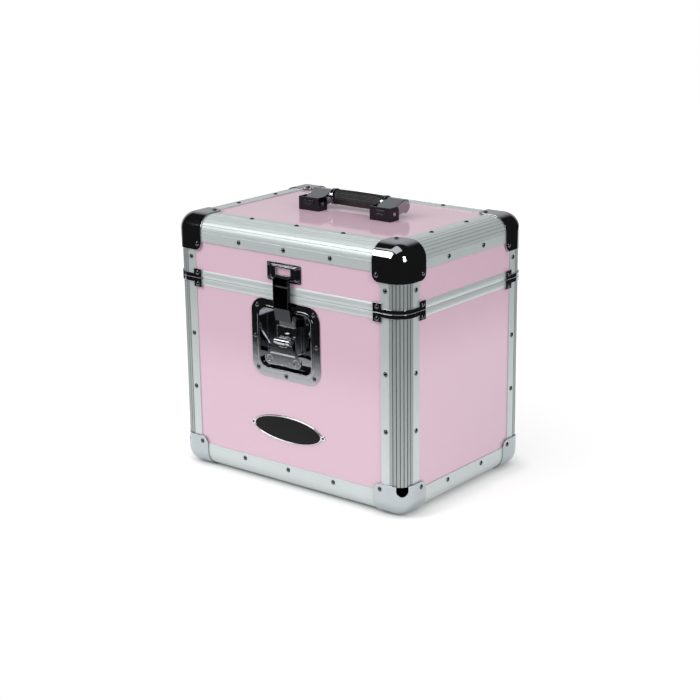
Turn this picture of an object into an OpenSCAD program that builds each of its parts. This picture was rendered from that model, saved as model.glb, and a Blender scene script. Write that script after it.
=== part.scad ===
// Record carrying case: a plywood box with laminate faces held in aluminium edge
// extrusions, chrome ball corners, a hinged lid, a butterfly latch and a fold-down handle.
// Millimetres. +Z is up, the front with the latch faces -Y, and the origin is on the
// floor under the middle of the box.

/* [Case] */
// Width over the edge extrusions, left to right
case_w = 375; // [350:1:400]
// Depth over the edge extrusions, front to back
case_d = 268; // [250:1:300]
// Height of the top extrusions' upper face above the floor
case_h = 348; // [335:1:375]
// Depth of the lid from its top face down to the parting line
lid_depth = 83.5; // [78:0.5:92]
// Gap between lid and body at the parting line
parting_gap = 0.4; // [0.3:0.1:1]

/* [Panels] */
// Thickness of the plywood panels with their laminate
panel_t = 6; // [5:0.5:7]
// Thickness of the foam pads in the base and in the lid
pad_t = 3; // [2:0.5:5]
// Margin between a foam pad and the walls round it
pad_margin = 1; // [0.5:0.5:3]

/* [Edge extrusions] */
// Wall of the extrusions
ext_wall = 1.5; // [1.2:0.1:2]
// Outer radius of the rounded edges
edge_r = 21; // [18:0.5:23]
// Width of an extrusion's leg on each face
edge_leg = 34; // [32:0.5:36]
// Width of the bottom extrusions' legs
low_leg = 32; // [30.5:0.5:34]
// How much shorter the legs' inner flanges are
leg_step = 1; // [0.5:0.5:3]
// How far the bottom ball corners reach over the posts' ends
post_seat = 1.5; // [1:0.5:4]
// Play of a panel in its slot
slot_play = 0.1; // [0.05:0.05:0.2]
// Number of fine grooves along a rounded edge
groove_n = 7; // [4:1:9]
// Radius of a groove
groove_r = 0.6; // [0.4:0.1:0.8]
// Height of the body's rail below the parting line
body_rail_h = 9.5; // [8:0.5:12]
// Height of the lid's rail above the parting line
lid_rail_h = 10.5; // [8:0.5:12]
// Radius of the rails' rounded faces
rail_bulge_r = 13; // [12:1:20]
// Height of the body rail's tongue that stands up inside the lid
tongue_lip_h = 5; // [3:0.5:6]
// Play between that tongue and the lid
lip_play = 0.4; // [0.3:0.1:0.8]

/* [Corners] */
// Sheet thickness of the ball corners
cap_t = 1.4; // [1.2:0.1:1.8]
// Fitting gap between hardware and the extrusions under it
seat_gap = 0.2; // [0.1:0.05:0.3]
// Leg of a top ball corner along each edge
top_cap_leg = 46; // [42:0.5:50]
// Leg of a bottom ball corner along the horizontal edges
low_cap_leg = 45.5; // [42:0.5:50]
// Height of a bottom ball corner
low_cap_h = 43.5; // [41:0.5:49]
// Rounding of a ball corner's far corners
cap_round = 10; // [6:1:14]
// Width of the notch in a bottom ball corner
notch_w = 15.5; // [10:0.5:17]
// Depth of the notch in a bottom ball corner
notch_h = 13.5; // [8:0.5:15]
// Reach of a corner brace from the case's edge
brace_leg = 45; // [42:0.5:48]
// Height of a corner brace's tabs
brace_tab_h = 12; // [10:0.5:13]
// Width of a corner brace's tabs
brace_tab_w = 13; // [10:0.5:14]
// Height of a corner brace's curved bar
brace_bar_h = 5.5; // [4:0.5:7]
// Sheet thickness of the braces
brace_t = 1.5; // [1:0.1:2]

/* [Rivets] */
// Radius of a rivet's head
rivet_r = 3.3; // [2.5:0.1:4]
// Radius of the keeper's small rivet heads
small_rivet_r = 2.4; // [2.2:0.1:2.6]
// Height of a rivet's head
rivet_h = 1.7; // [1.2:0.1:2]
// Radius of a rivet's shank
shank_r = 1.6; // [1.2:0.1:1.8]
// Play between a rivet's shank and its hole
shank_play = 0.1; // [0.05:0.05:0.15]
// Distance of the flange rivets from the case's edge
flange_rivet = 26.9; // [25:0.1:29]
// Spacing of the rivets along the front and back edges
rivet_pitch = 75.5; // [60:0.5:85]
// Distance of the side edges' rivets from the middle
side_rivet = 38; // [30:0.5:45]
// Height of the rivets in the bottom edges
low_rivet_z = 27; // [24:0.5:28]
// Drop of the posts' upper rivets below the parting line
post_rivet_high = 77.4; // [60:0.1:90]
// Drop of the posts' lower rivets below the parting line
post_rivet_low = 151.9; // [130:0.1:160]
// Rise of the lid posts' rivets above the parting line
lid_post_rivet = 27.8; // [24:0.1:31]

/* [Latch] */
// Width of the latch dish over its rim
dish_w = 114; // [106:1:120]
// Height of the latch dish over its rim
dish_h = 104; // [98:1:106]
// Drop of the dish's middle below the parting line
dish_drop = 62.5; // [62.5:0.5:68]
// Corner radius of the dish's rim
dish_round = 20; // [14:1:24]
// Width of the dish's recess
recess_w = 86; // [80:1:90]
// Height of the dish's recess
recess_h = 79; // [76:1:84]
// Depth of the recess behind the panel's face
recess_d = 14; // [12:0.5:16]
// Corner radius of the recess
recess_round = 12; // [8:1:16]
// Sheet thickness of the dish and the keeper
dish_t = 1.2; // [1:0.1:1.5]
// Drop of the spindle's axis below the parting line
spindle_drop = 61.5; // [60:0.5:63]
// Radius of the spindle's shaft
spindle_r = 5; // [4:0.5:6]
// Running play of the spindle and of the latch's pins
run_play = 0.06; // [0.03:0.01:0.1]
// Radius of the spindle's eccentric disc
cam_r = 7.5; // [7:0.5:8]
// Offset of the eccentric disc from the spindle's axis
cam_e = 3.54; // [3:0.01:3.8]
// Width of the tongue
tongue_w = 26; // [22:1:28]
// Rise of the tongue's top above the parting line
tongue_rise = 22.5; // [21:0.5:24.5]
// Drop of the tongue's pivot below the parting line
tongue_pin_drop = 33.5; // [33.5:0.5:34.5]
// Width of the wing's lower edge
wing_w = 60; // [52:1:64]
// Reach of the wing from its pin to its lower edge
wing_reach = 33; // [30:1:36]
// Width of the keeper plate
keeper_w = 56; // [50:1:60]
// Height of the keeper plate
keeper_h = 24.5; // [22:0.5:26]
// Rise of the keeper's lower edge above the parting line
keeper_rise = 15.5; // [14.5:0.5:17.5]

/* [Hinges] */
// Distance of each hinge from the middle
hinge_x = 95; // [70:1:110]
// Length of a hinge
hinge_w = 60; // [45:1:80]
// Height of each hinge leaf
hinge_leaf_h = 26; // [20:1:32]
// Radius of the hinge barrel
barrel_r = 3.4; // [3:0.1:4]
// Radius of the hinge pin
hinge_pin_r = 1.6; // [1.2:0.1:2]
// Number of knuckles in a hinge
knuckle_n = 5; // [3:2:7]

/* [Handle] */
// Sideways place of the handle's middle
handle_x = 4; // [-10:1:10]
// Distance between the middles of the two handle brackets
handle_span = 119; // [105:1:130]
// Width of a handle bracket
bracket_w = 33; // [28:1:36]
// Depth of a handle bracket, front to back
bracket_d = 19; // [16:0.5:22]
// Height of a handle bracket
bracket_h = 18; // [16:0.5:20]
// Sheet thickness of the brackets and the arms
bracket_t = 1.6; // [1.2:0.1:2]
// Distance of the handle's pivot behind the brackets' front face
pivot_y = 10; // [9:0.5:11]
// Height of the handle's pivot above the lid
pivot_z = 9; // [8:0.5:10]
// Distance from the handle's pivot to the middle of the grip
arm_len = 27; // [25:0.5:32]
// Upward slope of the folded arms
arm_slope = 13; // [8:1:18]
// Radius of the grip
grip_r = 10.5; // [9:0.5:11]
// Radius of the handle's pivot pins
handle_pin_r = 2.5; // [2:0.25:3]
// Front face of the brackets, behind the lid's middle line when positive
bracket_y = -16.5; // [-25:0.5:0]

/* [Hidden] */
$fn = 48;

eps = 0.01;
half_w = case_w / 2;
half_d = case_d / 2;
cap_out = cap_t + seat_gap;
// Underside of the bottom extrusions: the ball corners under them touch the floor
base_z = cap_out;
parting_z = case_h - lid_depth;
dish_z = parting_z - dish_drop;
spindle_z = parting_z - spindle_drop;
tongue_pin_z = parting_z - tongue_pin_drop;
tongue_top_z = parting_z + tongue_rise;
keeper_z = parting_z + keeper_rise;
body_top = parting_z - parting_gap / 2;
lid_bottom = parting_z + parting_gap / 2;
slot_w = panel_t + slot_play;
inner_face = ext_wall + slot_w;
section_d = inner_face + ext_wall;
wall_t = ext_wall + panel_t;
panel_edge = edge_r;
cap_r = edge_r + cap_out;
straight_x = case_w - 2 * edge_leg;
straight_d = case_d - 2 * edge_leg;
post_low = low_cap_h - post_seat;
post_high = case_h - edge_leg;
body_panel_top = body_top - ext_wall;
lid_panel_low = lid_bottom + ext_wall;
hole_r = shank_r + shank_play;
// How far a cutting tool runs past the face that it opens
past = 1;
panel_face_y = -half_d + ext_wall;
aluminium = [0.78, 0.81, 0.8];
pink = [0.85, 0.72, 0.78];
chrome = [0.55, 0.56, 0.58];
steel = [0.7, 0.71, 0.72];
foam = [0.16, 0.16, 0.17];
black = [0.08, 0.08, 0.09];

// ---- placing helpers ----

// Turn that brings +Z to the outward normal of a face
function facing(face) =
  face == "front" ? [90, 0, 0] :
  face == "back" ? [-90, 0, 0] :
  face == "left" ? [0, -90, 0] :
  face == "right" ? [0, 90, 0] :
  face == "bottom" ? [180, 0, 0] : [0, 0, 0];

// Rivet places as [x, y, z, face]; signs of one pair of corners
sides = [-1, 1];
function wall_y(face) = face == "front" ? -half_d : half_d;
function wall_x(face) = face == "left" ? -half_w : half_w;

module at_places(places) {
  for (p = places)
    translate([p[0], p[1], p[2]]) rotate(facing(p[3])) children();
}

// One domed rivet: its head stands on the face, lifted by the hardware it holds, and
// its shank goes down through the wall
module rivet(lift, depth, head_r) {
  dome_r = (head_r * head_r + rivet_h * rivet_h) / (2 * rivet_h);
  translate([0, 0, lift]) rotate_extrude()
    intersection() {
      translate([0, rivet_h - dome_r]) circle(r = dome_r, $fn = 64);
      square([head_r, rivet_h]);
    }
  translate([0, 0, -depth]) cylinder(r = shank_r, h = depth + lift + eps);
}

module rivet_hole() {
  translate([0, 0, -section_d - past]) cylinder(r = hole_r, h = section_d + cap_out + 2 * past);
}

// ---- rivet places ----
post_rivet_heights = [parting_z - post_rivet_low, parting_z - post_rivet_high];
lid_post_rivet_z = parting_z + lid_post_rivet;
post_x = half_w - flange_rivet;
post_y = half_d - flange_rivet;
top_flange_z = case_h - flange_rivet;

function post_places(z) = [
  for (sx = sides, f = ["front", "back"]) [sx * post_x, wall_y(f), z, f],
  for (sy = sides, f = ["left", "right"]) [wall_x(f), sy * post_y, z, f]
];
body_post_places = [for (z = post_rivet_heights) each post_places(z)];
lid_post_places = post_places(lid_post_rivet_z);
bottom_edge_places = [
  for (i = [-1:1], f = ["front", "back"]) [i * rivet_pitch, wall_y(f), low_rivet_z, f],
  for (s = sides, f = ["left", "right"]) [wall_x(f), s * side_rivet, low_rivet_z, f]
];
top_edge_places = [
  for (i = [-1:1], f = ["front", "back"]) [i * rivet_pitch, wall_y(f), top_flange_z, f],
  for (s = sides, f = ["left", "right"]) [wall_x(f), s * side_rivet, top_flange_z, f],
  for (i = [-1:1], s = sides) [i * rivet_pitch, s * (half_d - flange_rivet), case_h, "top"],
  for (sx = sides, s = sides) [sx * (half_w - flange_rivet), s * side_rivet, case_h, "top"]
];
// Ball corner rivets: one near the far corner of each face
cap_rivet_side = 6.5;
cap_rivet_end = 9;
low_cap_rivet_side = 9.7;
low_cap_rivet_end = 7.5;
top_cap_far = top_cap_leg - cap_rivet_side;
top_cap_near = top_cap_leg - cap_rivet_end;
low_cap_far = low_cap_leg - low_cap_rivet_side;
low_cap_up = low_cap_h - low_cap_rivet_end;
top_cap_places = [
  for (sx = sides, sy = sides, k = [0:2])
    k == 0 ? [sx * (half_w - top_cap_far), sy * half_d, case_h - top_cap_near, sy < 0 ? "front" : "back"] :
    k == 1 ? [sx * half_w, sy * (half_d - top_cap_far), case_h - top_cap_near, sx < 0 ? "left" : "right"] :
    [sx * (half_w - top_cap_near), sy * (half_d - top_cap_near), case_h, "top"]
];
low_cap_places = [
  for (sx = sides, sy = sides, k = [0:1])
    k == 0 ? [sx * (half_w - low_cap_far), sy * half_d, low_cap_up, sy < 0 ? "front" : "back"] :
    [sx * half_w, sy * (half_d - low_cap_far), low_cap_up, sx < 0 ? "left" : "right"]
];
brace_rivet = brace_leg - brace_tab_w / 2;
function brace_places(z) = [
  for (sx = sides, sy = sides, k = [0:1])
    k == 0 ? [sx * (half_w - brace_rivet), sy * half_d, z, sy < 0 ? "front" : "back"] :
    [sx * half_w, sy * (half_d - brace_rivet), z, sx < 0 ? "left" : "right"]
];
brace_rivet_in = 4.5;
brace_rivet_off = brace_tab_h - brace_rivet_in;
body_brace_places = brace_places(body_top - brace_rivet_off);
lid_brace_places = brace_places(lid_bottom + brace_rivet_off);
dish_rivet_in = 10;
dish_rivet_side = 6;
dish_rivet_low = 4.8;
dish_rivet_x = dish_w / 2 - dish_rivet_in;
dish_rivet_z = dish_h / 2 - dish_rivet_in;
dish_places = concat(
  [for (sx = sides, sz = sides) [sx * dish_rivet_x, panel_face_y, dish_z + sz * dish_rivet_z, "front"]],
  [for (sx = sides) [sx * (dish_w / 2 - dish_rivet_side), panel_face_y, dish_z, "front"]],
  [[0, panel_face_y, dish_z - dish_h / 2 + dish_rivet_low, "front"]]
);
keeper_rivet_in = 3.1;
keeper_mid_z = keeper_z + keeper_h / 2;
keeper_rivet_x = keeper_w / 2 - keeper_rivet_in;
keeper_rivet_z = keeper_h / 2 - keeper_rivet_in;
keeper_places = [
  for (sx = sides, sz = sides)
    [sx * keeper_rivet_x, panel_face_y, keeper_mid_z + sz * keeper_rivet_z, "front"]
];
hinge_rivet_off = 7;
hinge_rivet_in = 10;
function hinge_places(z) = [
  for (sx = sides, s = sides)
    [sx * hinge_x + s * (hinge_w / 2 - hinge_rivet_in), half_d, z, "back"]
];
hinge_rivet_drop = hinge_leaf_h - hinge_rivet_off;
body_hinge_places = hinge_places(parting_z - hinge_rivet_drop);
lid_hinge_places = hinge_places(parting_z + hinge_rivet_drop);

body_rivet_places = concat(body_post_places, bottom_edge_places);
lid_rivet_places = concat(lid_post_places, top_edge_places);
body_holes = concat(body_rivet_places, low_cap_places, body_brace_places, body_hinge_places, dish_places);
lid_holes = concat(lid_rivet_places, top_cap_places, lid_brace_places, lid_hinge_places, keeper_places);

// Only the holes of one face, so that each piece is cut by its own rivets
module drill(places, faces) {
  for (p = places)
    if (is_in(p[3], faces))
      translate([p[0], p[1], p[2]]) rotate(facing(p[3])) rivet_hole();
}
function is_in(name, names) = len([for (n = names) if (n == name) n]) > 0;

// ---- edge extrusions ----
// How far a groove's middle lies outside the rounded edge
groove_out = groove_r / 4;
// Overlap of webs with the walls that they stand on
join = 0.1;

// Section of an edge extrusion; the case's edge is at the origin and the faces run
// along +X and +Y. Each leg holds a panel between its outer and its inner flange.
module edge_section(leg, grooves) {
  difference() {
    union() {
      translate([edge_r, 0]) square([leg - edge_r, ext_wall]);
      translate([0, edge_r]) square([ext_wall, leg - edge_r]);
      intersection() {
        translate([edge_r, edge_r]) difference() {
          circle(r = edge_r, $fn = 96);
          circle(r = edge_r - ext_wall, $fn = 96);
        }
        square(edge_r);
      }
      leg_inside(leg);
      mirror([1, -1]) leg_inside(leg);
    }
    if (grooves > 0)
      for (i = [0:grooves])
        translate([edge_r, edge_r]) rotate(180 + 90 * i / grooves)
          translate([edge_r + groove_out, 0]) circle(r = groove_r, $fn = 16);
  }
}

// The stop web behind the panel's edge and the inner flange of one leg
module leg_inside(leg) {
  translate([edge_r - ext_wall, ext_wall - join]) square([ext_wall, inner_face + join]);
  translate([edge_r - ext_wall, inner_face]) square([leg - leg_step - edge_r + ext_wall, ext_wall]);
}

module post(sx, sy, z0, z1, places) {
  difference() {
    translate([sx * half_w, sy * half_d, z0])
      mirror([sx > 0 ? 1 : 0, 0, 0]) mirror([0, sy > 0 ? 1 : 0, 0])
        linear_extrude(z1 - z0) edge_section(edge_leg, groove_n);
    drill(places, [sy < 0 ? "front" : "back", sx < 0 ? "left" : "right"]);
  }
}

// A horizontal edge along X; sz is -1 for the bottom and 1 for the top
module edge_x(sy, sz, grooves, places) {
  difference() {
    translate([-straight_x / 2, sy * half_d, sz < 0 ? base_z : case_h])
      mirror([0, sy > 0 ? 1 : 0, 0]) mirror([0, 0, sz > 0 ? 1 : 0])
        rotate([90, 0, 90]) linear_extrude(straight_x) edge_section(sz < 0 ? low_leg : edge_leg, grooves);
    drill(places, [sy < 0 ? "front" : "back", sz < 0 ? "bottom" : "top"]);
  }
}

module edge_y(sx, sz, grooves, places) {
  difference() {
    translate([sx * half_w, straight_d / 2, sz < 0 ? base_z : case_h])
      mirror([sx > 0 ? 1 : 0, 0, 0]) mirror([0, 0, sz > 0 ? 1 : 0])
        rotate([90, 0, 0]) linear_extrude(straight_d) edge_section(sz < 0 ? low_leg : edge_leg, grooves);
    drill(places, [sx < 0 ? "left" : "right", sz < 0 ? "bottom" : "top"]);
  }
}

// ---- panels ----

module wall_x_panel(sx, z0, z1, places) {
  inset = half_w - ext_wall;
  span = case_d - 2 * panel_edge;
  difference() {
    translate([sx > 0 ? inset - panel_t : -inset, -span / 2, z0]) cube([panel_t, span, z1 - z0]);
    drill(places, [sx < 0 ? "left" : "right"]);
  }
}

module wall_y_panel(sy, z0, z1, places) {
  inset = half_d - ext_wall;
  span = case_w - 2 * panel_edge;
  difference() {
    translate([-span / 2, sy > 0 ? inset - panel_t : -inset, z0]) cube([span, panel_t, z1 - z0]);
    drill(places, [sy < 0 ? "front" : "back"]);
  }
}

module flat_panel(z0, places, face) {
  difference() {
    translate([-half_w + panel_edge, -half_d + panel_edge, z0])
      cube([case_w - 2 * panel_edge, case_d - 2 * panel_edge, panel_t]);
    drill(places, [face]);
  }
}

body_panel_low = base_z + panel_edge;
lid_panel_high = case_h - panel_edge;

// ---- rails along the parting line ----

// Sections with x as the depth from the outer face and y as the height
module body_rail_section() {
  outer_wall(body_top - body_rail_h, body_top);
  translate([ext_wall - join, body_top - ext_wall]) square([section_d - ext_wall + join, ext_wall]);
  translate([inner_face, body_top - body_rail_h]) square([ext_wall, body_rail_h]);
  translate([inner_face + lip_play, body_top - ext_wall])
    square([ext_wall, ext_wall + tongue_lip_h]);
}
module lid_rail_section() {
  outer_wall(lid_bottom, lid_bottom + lid_rail_h);
  translate([ext_wall - join, lid_bottom]) square([panel_t + join, ext_wall]);
}

// Outer wall with a rounded face between two heights
module outer_wall(z0, z1) {
  intersection() {
    translate([0, z0]) square([ext_wall, z1 - z0]);
    translate([rail_bulge_r, (z0 + z1) / 2]) circle(r = rail_bulge_r, $fn = 96);
  }
}

// Four rails from one section, one on each face between the corner posts
module rail_ring(places) {
  color(aluminium) difference() {
    for (s = sides) {
      translate([-straight_x / 2 + seat_gap, s * half_d, 0]) mirror([0, s > 0 ? 1 : 0, 0])
        rotate([90, 0, 90]) linear_extrude(straight_x - 2 * seat_gap) children();
      translate([s * half_w, straight_d / 2 - seat_gap, 0]) mirror([s > 0 ? 1 : 0, 0, 0])
        rotate([90, 0, 0]) linear_extrude(straight_d - 2 * seat_gap) children();
    }
    drill(places, ["front", "back", "left", "right"]);
  }
}

// ---- ball corners ----

// Solid with its corner at the origin and rounded edges where its outer faces meet
module rounded_corner(r, leg, height) {
  translate([r, r, r]) sphere(r = r, $fn = 64);
  translate([r, r, r]) cylinder(r = r, h = height - r, $fn = 64);
  translate([r, r, r]) rotate([0, 90, 0]) cylinder(r = r, h = leg - r, $fn = 64);
  translate([r, r, r]) rotate([-90, 0, 0]) cylinder(r = r, h = leg - r, $fn = 64);
  translate([r, r, 0]) cube([leg - r, leg - r, height]);
  translate([r, 0, r]) cube([leg - r, leg, height - r]);
  translate([0, r, r]) cube([leg, leg - r, height - r]);
}

// Square with its far corner rounded
module far_rounded(a, b, r) {
  square([a - r, b]);
  square([a, b - r]);
  translate([a - r, b - r]) circle(r = r);
}

// Ball corner with its inner faces on the case's faces; the case's corner is the origin
module ball_corner(leg, height, notch) {
  difference() {
    intersection() {
      translate([-cap_out, -cap_out, -cap_out])
        rounded_corner(cap_r, leg + cap_out, height + cap_out);
      translate([-cap_out, -cap_out, -cap_out])
        linear_extrude(height + cap_out) far_rounded(leg + cap_out, leg + cap_out, cap_round);
      translate([-cap_out, leg + cap_out, -cap_out]) rotate([90, 0, 0])
        linear_extrude(leg + 2 * cap_out) far_rounded(leg + cap_out, height + cap_out, cap_round);
      translate([-cap_out, -cap_out, -cap_out]) rotate([90, 0, 90])
        linear_extrude(leg + cap_out) far_rounded(leg + cap_out, height + cap_out, cap_round);
    }
    translate([-seat_gap, -seat_gap, -seat_gap])
      rounded_corner(edge_r + seat_gap, leg + cap_out + past, height + cap_out + past);
    if (notch) notch_tool(height);
  }
}

// Round-bottomed slot through the vertical edge, open at the top
module notch_tool(height) {
  rotate([0, 0, 45]) translate([0, 0, height]) rotate([90, 0, 90]) translate([0, 0, -eps])
    linear_extrude(edge_r) {
      translate([-notch_w / 2, -notch_h + notch_w / 2]) square([notch_w, notch_h]);
      translate([0, -notch_h + notch_w / 2]) circle(r = notch_w / 2);
    }
}

module place_corner(sx, sy, top) {
  translate([sx * half_w, sy * half_d, top ? case_h : base_z])
    mirror([sx > 0 ? 1 : 0, 0, 0]) mirror([0, sy > 0 ? 1 : 0, 0])
      mirror([0, 0, top ? 1 : 0]) children();
}

module bottom_corner(sx, sy) {
  color(aluminium) difference() {
    place_corner(sx, sy, false) ball_corner(low_cap_leg, low_cap_h - base_z, true);
    drill(low_cap_places, [sy < 0 ? "front" : "back", sx < 0 ? "left" : "right"]);
  }
}

module top_corner(sx, sy) {
  color(chrome) difference() {
    place_corner(sx, sy, true) ball_corner(top_cap_leg, top_cap_leg, false);
    drill(top_cap_places, [sy < 0 ? "front" : "back", sx < 0 ? "left" : "right", "top"]);
  }
}

// ---- braces at the parting line ----

module brace_strip(reach) {
  outer = seat_gap + brace_t;
  difference() {
    union() {
      translate([edge_r, edge_r]) circle(r = edge_r + outer, $fn = 96);
      translate([edge_r, -outer]) square([reach - edge_r, edge_r]);
      translate([-outer, edge_r]) square([edge_r, reach - edge_r]);
    }
    translate([edge_r, edge_r]) circle(r = edge_r + seat_gap, $fn = 96);
    translate([edge_r, -seat_gap]) square(2 * brace_leg);
    translate([-seat_gap, edge_r]) square(2 * brace_leg);
  }
}

module corner_brace() {
  bar_reach = brace_leg - brace_tab_w;
  out = seat_gap + brace_t + past;
  linear_extrude(brace_bar_h) brace_strip(bar_reach + join);
  difference() {
    linear_extrude(brace_tab_h) brace_strip(brace_leg);
    translate([-out, -out, brace_bar_h]) cube([bar_reach + out, bar_reach + out, brace_tab_h]);
  }
}

module braces(z, up, places) {
  color(chrome) difference() {
    for (sx = sides, sy = sides)
      translate([sx * half_w, sy * half_d, z])
        mirror([sx > 0 ? 1 : 0, 0, 0]) mirror([0, sy > 0 ? 1 : 0, 0])
          mirror([0, 0, up ? 0 : 1]) corner_brace();
    drill(places, ["front", "back", "left", "right"]);
  }
}

// ---- latch ----
recess_floor_y = panel_face_y + recess_d;
// Slider: its plate runs between the bridge and the eccentric disc's collar
slider_t = 2;
slider_w = 26;
slider_in = 3;
slider_play = 0.4;
slider_y = panel_face_y + slider_in;
slider_back = slider_y + slider_t;
cam_play = 0.3;
cam_grip = 0.2;
cam_near = cam_e * cos(45);
throw = 2 * cam_near;
slider_margin = 4;
// Bridge: a box that carries the spindle over the slider
bridge_t = 2;
bridge_foot = 6;
bridge_reach = 18;
bridge_y = slider_y - slider_play - bridge_t;
bridge_low = spindle_z - bridge_reach;
bridge_leg = slider_w / 2 + slider_play;
// Spindle's head and the lug that carries the wing's pin
head_gap = 0.3;
head_r = 10;
head_out = 1.5;
head_y = panel_face_y - head_out;
lug_half = 6;
lug_r = 5;
lug_play = 0.4;
wing_pin_out = 6;
wing_pin_y = panel_face_y - wing_pin_out;
wing_pin_r = 2;
// Wing
wing_t = 2.4;
wing_lobe_r = 8;
wing_lobe_x = wing_w / 2 - wing_lobe_r;
wing_lobe_z = wing_lobe_r - wing_reach;
wing_neck = 6;
wing_flare = 3;
wing_waist_r = 43.5;
wing_waist_in = 1.5;
wing_crease = 17;
wing_crease_r = 0.8;
wing_crease_over = 8;
wing_dimple_r = 4.2;
wing_dimple_t = 1.5;
knuckle_r = 4;
knuckle_out = 12.5;
knuckle_base = lug_half + lug_play;
// Tongue and the ears that hold it
tongue_pin_in = 3;
tongue_pin_y = panel_face_y + tongue_pin_in;
tongue_pin_r = 1.5;
ear_r = 3.8;
ear_in = 9.6;
ear_out = 12.4;
ear_play = 0.3;
ear_root = 2;
ear_barrel_play = 0.4;
tongue_t = 2.2;
tongue_rim_w = 1.6;
tongue_rim_h = 1.4;
tongue_bend = 15;
tongue_bend_h = 2;
tongue_foot_low = 2;
tongue_foot_high = 3;
tongue_foot_back = panel_face_y - dish_t - 1.2;
tongue_bead_r = 0.7;
tongue_bead_drop = 12;
lip_gap = 0.3;
lip_h = 3;
lip_in = 1.5;
lip_reach = 1.1;
// Keeper: a stamped plate with a raised box and a window
keeper_box_t = 2.4;
keeper_box_in_x = 6;
keeper_box_in_z = 2.75;
keeper_step = 2;
keeper_step_z = 1.2;
keeper_round = 2;
window_in = 0.5;
window_h = 9.5;
window_up = 1.5;
window_round = 1.5;
keeper_front = panel_face_y - dish_t - keeper_box_t;
tongue_back = keeper_front - lip_gap - lip_reach;
tongue_front = tongue_back - tongue_t;
// Dish: a raised border round its recess, and the play of its hole in the panel
dish_border = 3.5;
dish_border_h = 0.8;
dish_play = 0.3;

module rounded_rect(w, h, r) {
  square([w - 2 * r, h], center = true);
  square([w, h - 2 * r], center = true);
  for (sx = sides, sy = sides)
    translate([sx * (w / 2 - r), sy * (h / 2 - r)]) circle(r = r);
}

// Extrudes a drawing of x and z from the depth y0 back to y1
module front_slab(y0, y1, z) {
  translate([0, y1, z]) rotate([90, 0, 0]) linear_extrude(y1 - y0) children();
}

// Cylinder along X from x0 to x1
module rod_x(x0, x1, y, z, r) {
  translate([x0, y, z]) rotate([0, 90, 0]) cylinder(r = r, h = x1 - x0);
}

// Cylinder along Y from y0 back to y1
module rod_y(y0, y1, x, z, r) {
  translate([x, y1, z]) rotate([90, 0, 0]) cylinder(r = r, h = y1 - y0);
}

// The dish's recess, grown by a margin
module recess_outline(grow) {
  rounded_rect(recess_w + 2 * grow, recess_h + 2 * grow, recess_round + grow);
}

module latch_dish() {
  rim_y = panel_face_y - dish_t;
  color(chrome) difference() {
    union() {
      front_slab(rim_y, panel_face_y, dish_z) rounded_rect(dish_w, dish_h, dish_round);
      front_slab(rim_y - dish_border_h, panel_face_y, dish_z) recess_outline(dish_border);
      front_slab(rim_y, recess_floor_y + dish_t, dish_z) recess_outline(dish_t);
    }
    front_slab(rim_y - dish_border_h - past, recess_floor_y, dish_z) recess_outline(0);
    drill(dish_places, ["front"]);
  }
}

module dish_cutout() {
  front_slab(panel_face_y - past, panel_face_y + panel_t + past, dish_z)
    recess_outline(dish_t + dish_play);
}

// Raised box that guides the slider and carries the spindle
module latch_bridge() {
  height = 2 * bridge_reach;
  color(chrome) difference() {
    union() {
      translate([-bridge_leg - bridge_t, bridge_y, bridge_low])
        cube([2 * (bridge_leg + bridge_t), bridge_t, height]);
      for (s = sides) {
        leg_x = s > 0 ? bridge_leg : -bridge_leg - bridge_t;
        foot_x = s > 0 ? bridge_leg : -bridge_leg - bridge_foot;
        translate([leg_x, bridge_y, bridge_low]) cube([bridge_t, recess_floor_y - bridge_y, height]);
        translate([foot_x, recess_floor_y - bridge_t, bridge_low]) cube([bridge_foot, bridge_t, height]);
      }
    }
    rod_y(bridge_y - past, bridge_y + bridge_t + past, 0, spindle_z, spindle_r + run_play);
  }
}

// Shaft with its eccentric disc in the slider's slot and the wing's lug in front
module latch_spindle() {
  shaft_back = slider_y - cam_grip / 2;
  color(chrome) difference() {
    union() {
      rod_y(slider_y - cam_grip, slider_back, cam_near, spindle_z - cam_near, cam_r, $fn = 64);
      rod_y(head_y, shaft_back, 0, spindle_z, spindle_r, $fn = 64);
      rod_y(head_y, bridge_y - head_gap, 0, spindle_z, head_r, $fn = 64);
      translate([-lug_half, wing_pin_y, spindle_z - lug_r])
        cube([2 * lug_half, head_y - wing_pin_y + join, 2 * lug_r]);
      rod_x(-lug_half, lug_half, wing_pin_y, spindle_z, lug_r, $fn = 64);
    }
    rod_x(-lug_half - past, lug_half + past, wing_pin_y, spindle_z, wing_pin_r + run_play);
  }
}

module wing_pin() {
  color(steel) rod_x(-knuckle_out, knuckle_out, wing_pin_y, spindle_z, wing_pin_r);
}

// Drawing of the wing: a neck at the pin that widens into two lobes, with an arched waist
module wing_outline() {
  lobe_a = 32;
  side_x = wing_lobe_x + wing_lobe_r * cos(lobe_a);
  side_z = wing_lobe_z + wing_lobe_r * sin(lobe_a);
  neck_x = knuckle_out + wing_flare;
  difference() {
    union() {
      polygon([
        [-knuckle_out, 0], [knuckle_out, 0], [neck_x, -wing_neck], [side_x, side_z],
        [wing_lobe_x, -wing_reach], [-wing_lobe_x, -wing_reach],
        [-side_x, side_z], [-neck_x, -wing_neck]
      ]);
      for (s = sides) translate([s * wing_lobe_x, wing_lobe_z]) circle(r = wing_lobe_r);
    }
    translate([-knuckle_base, -lug_r - 2]) square([2 * knuckle_base, lug_r + 2 + past]);
    translate([0, wing_waist_in - wing_reach - wing_waist_r]) circle(r = wing_waist_r, $fn = 96);
  }
}

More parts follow.
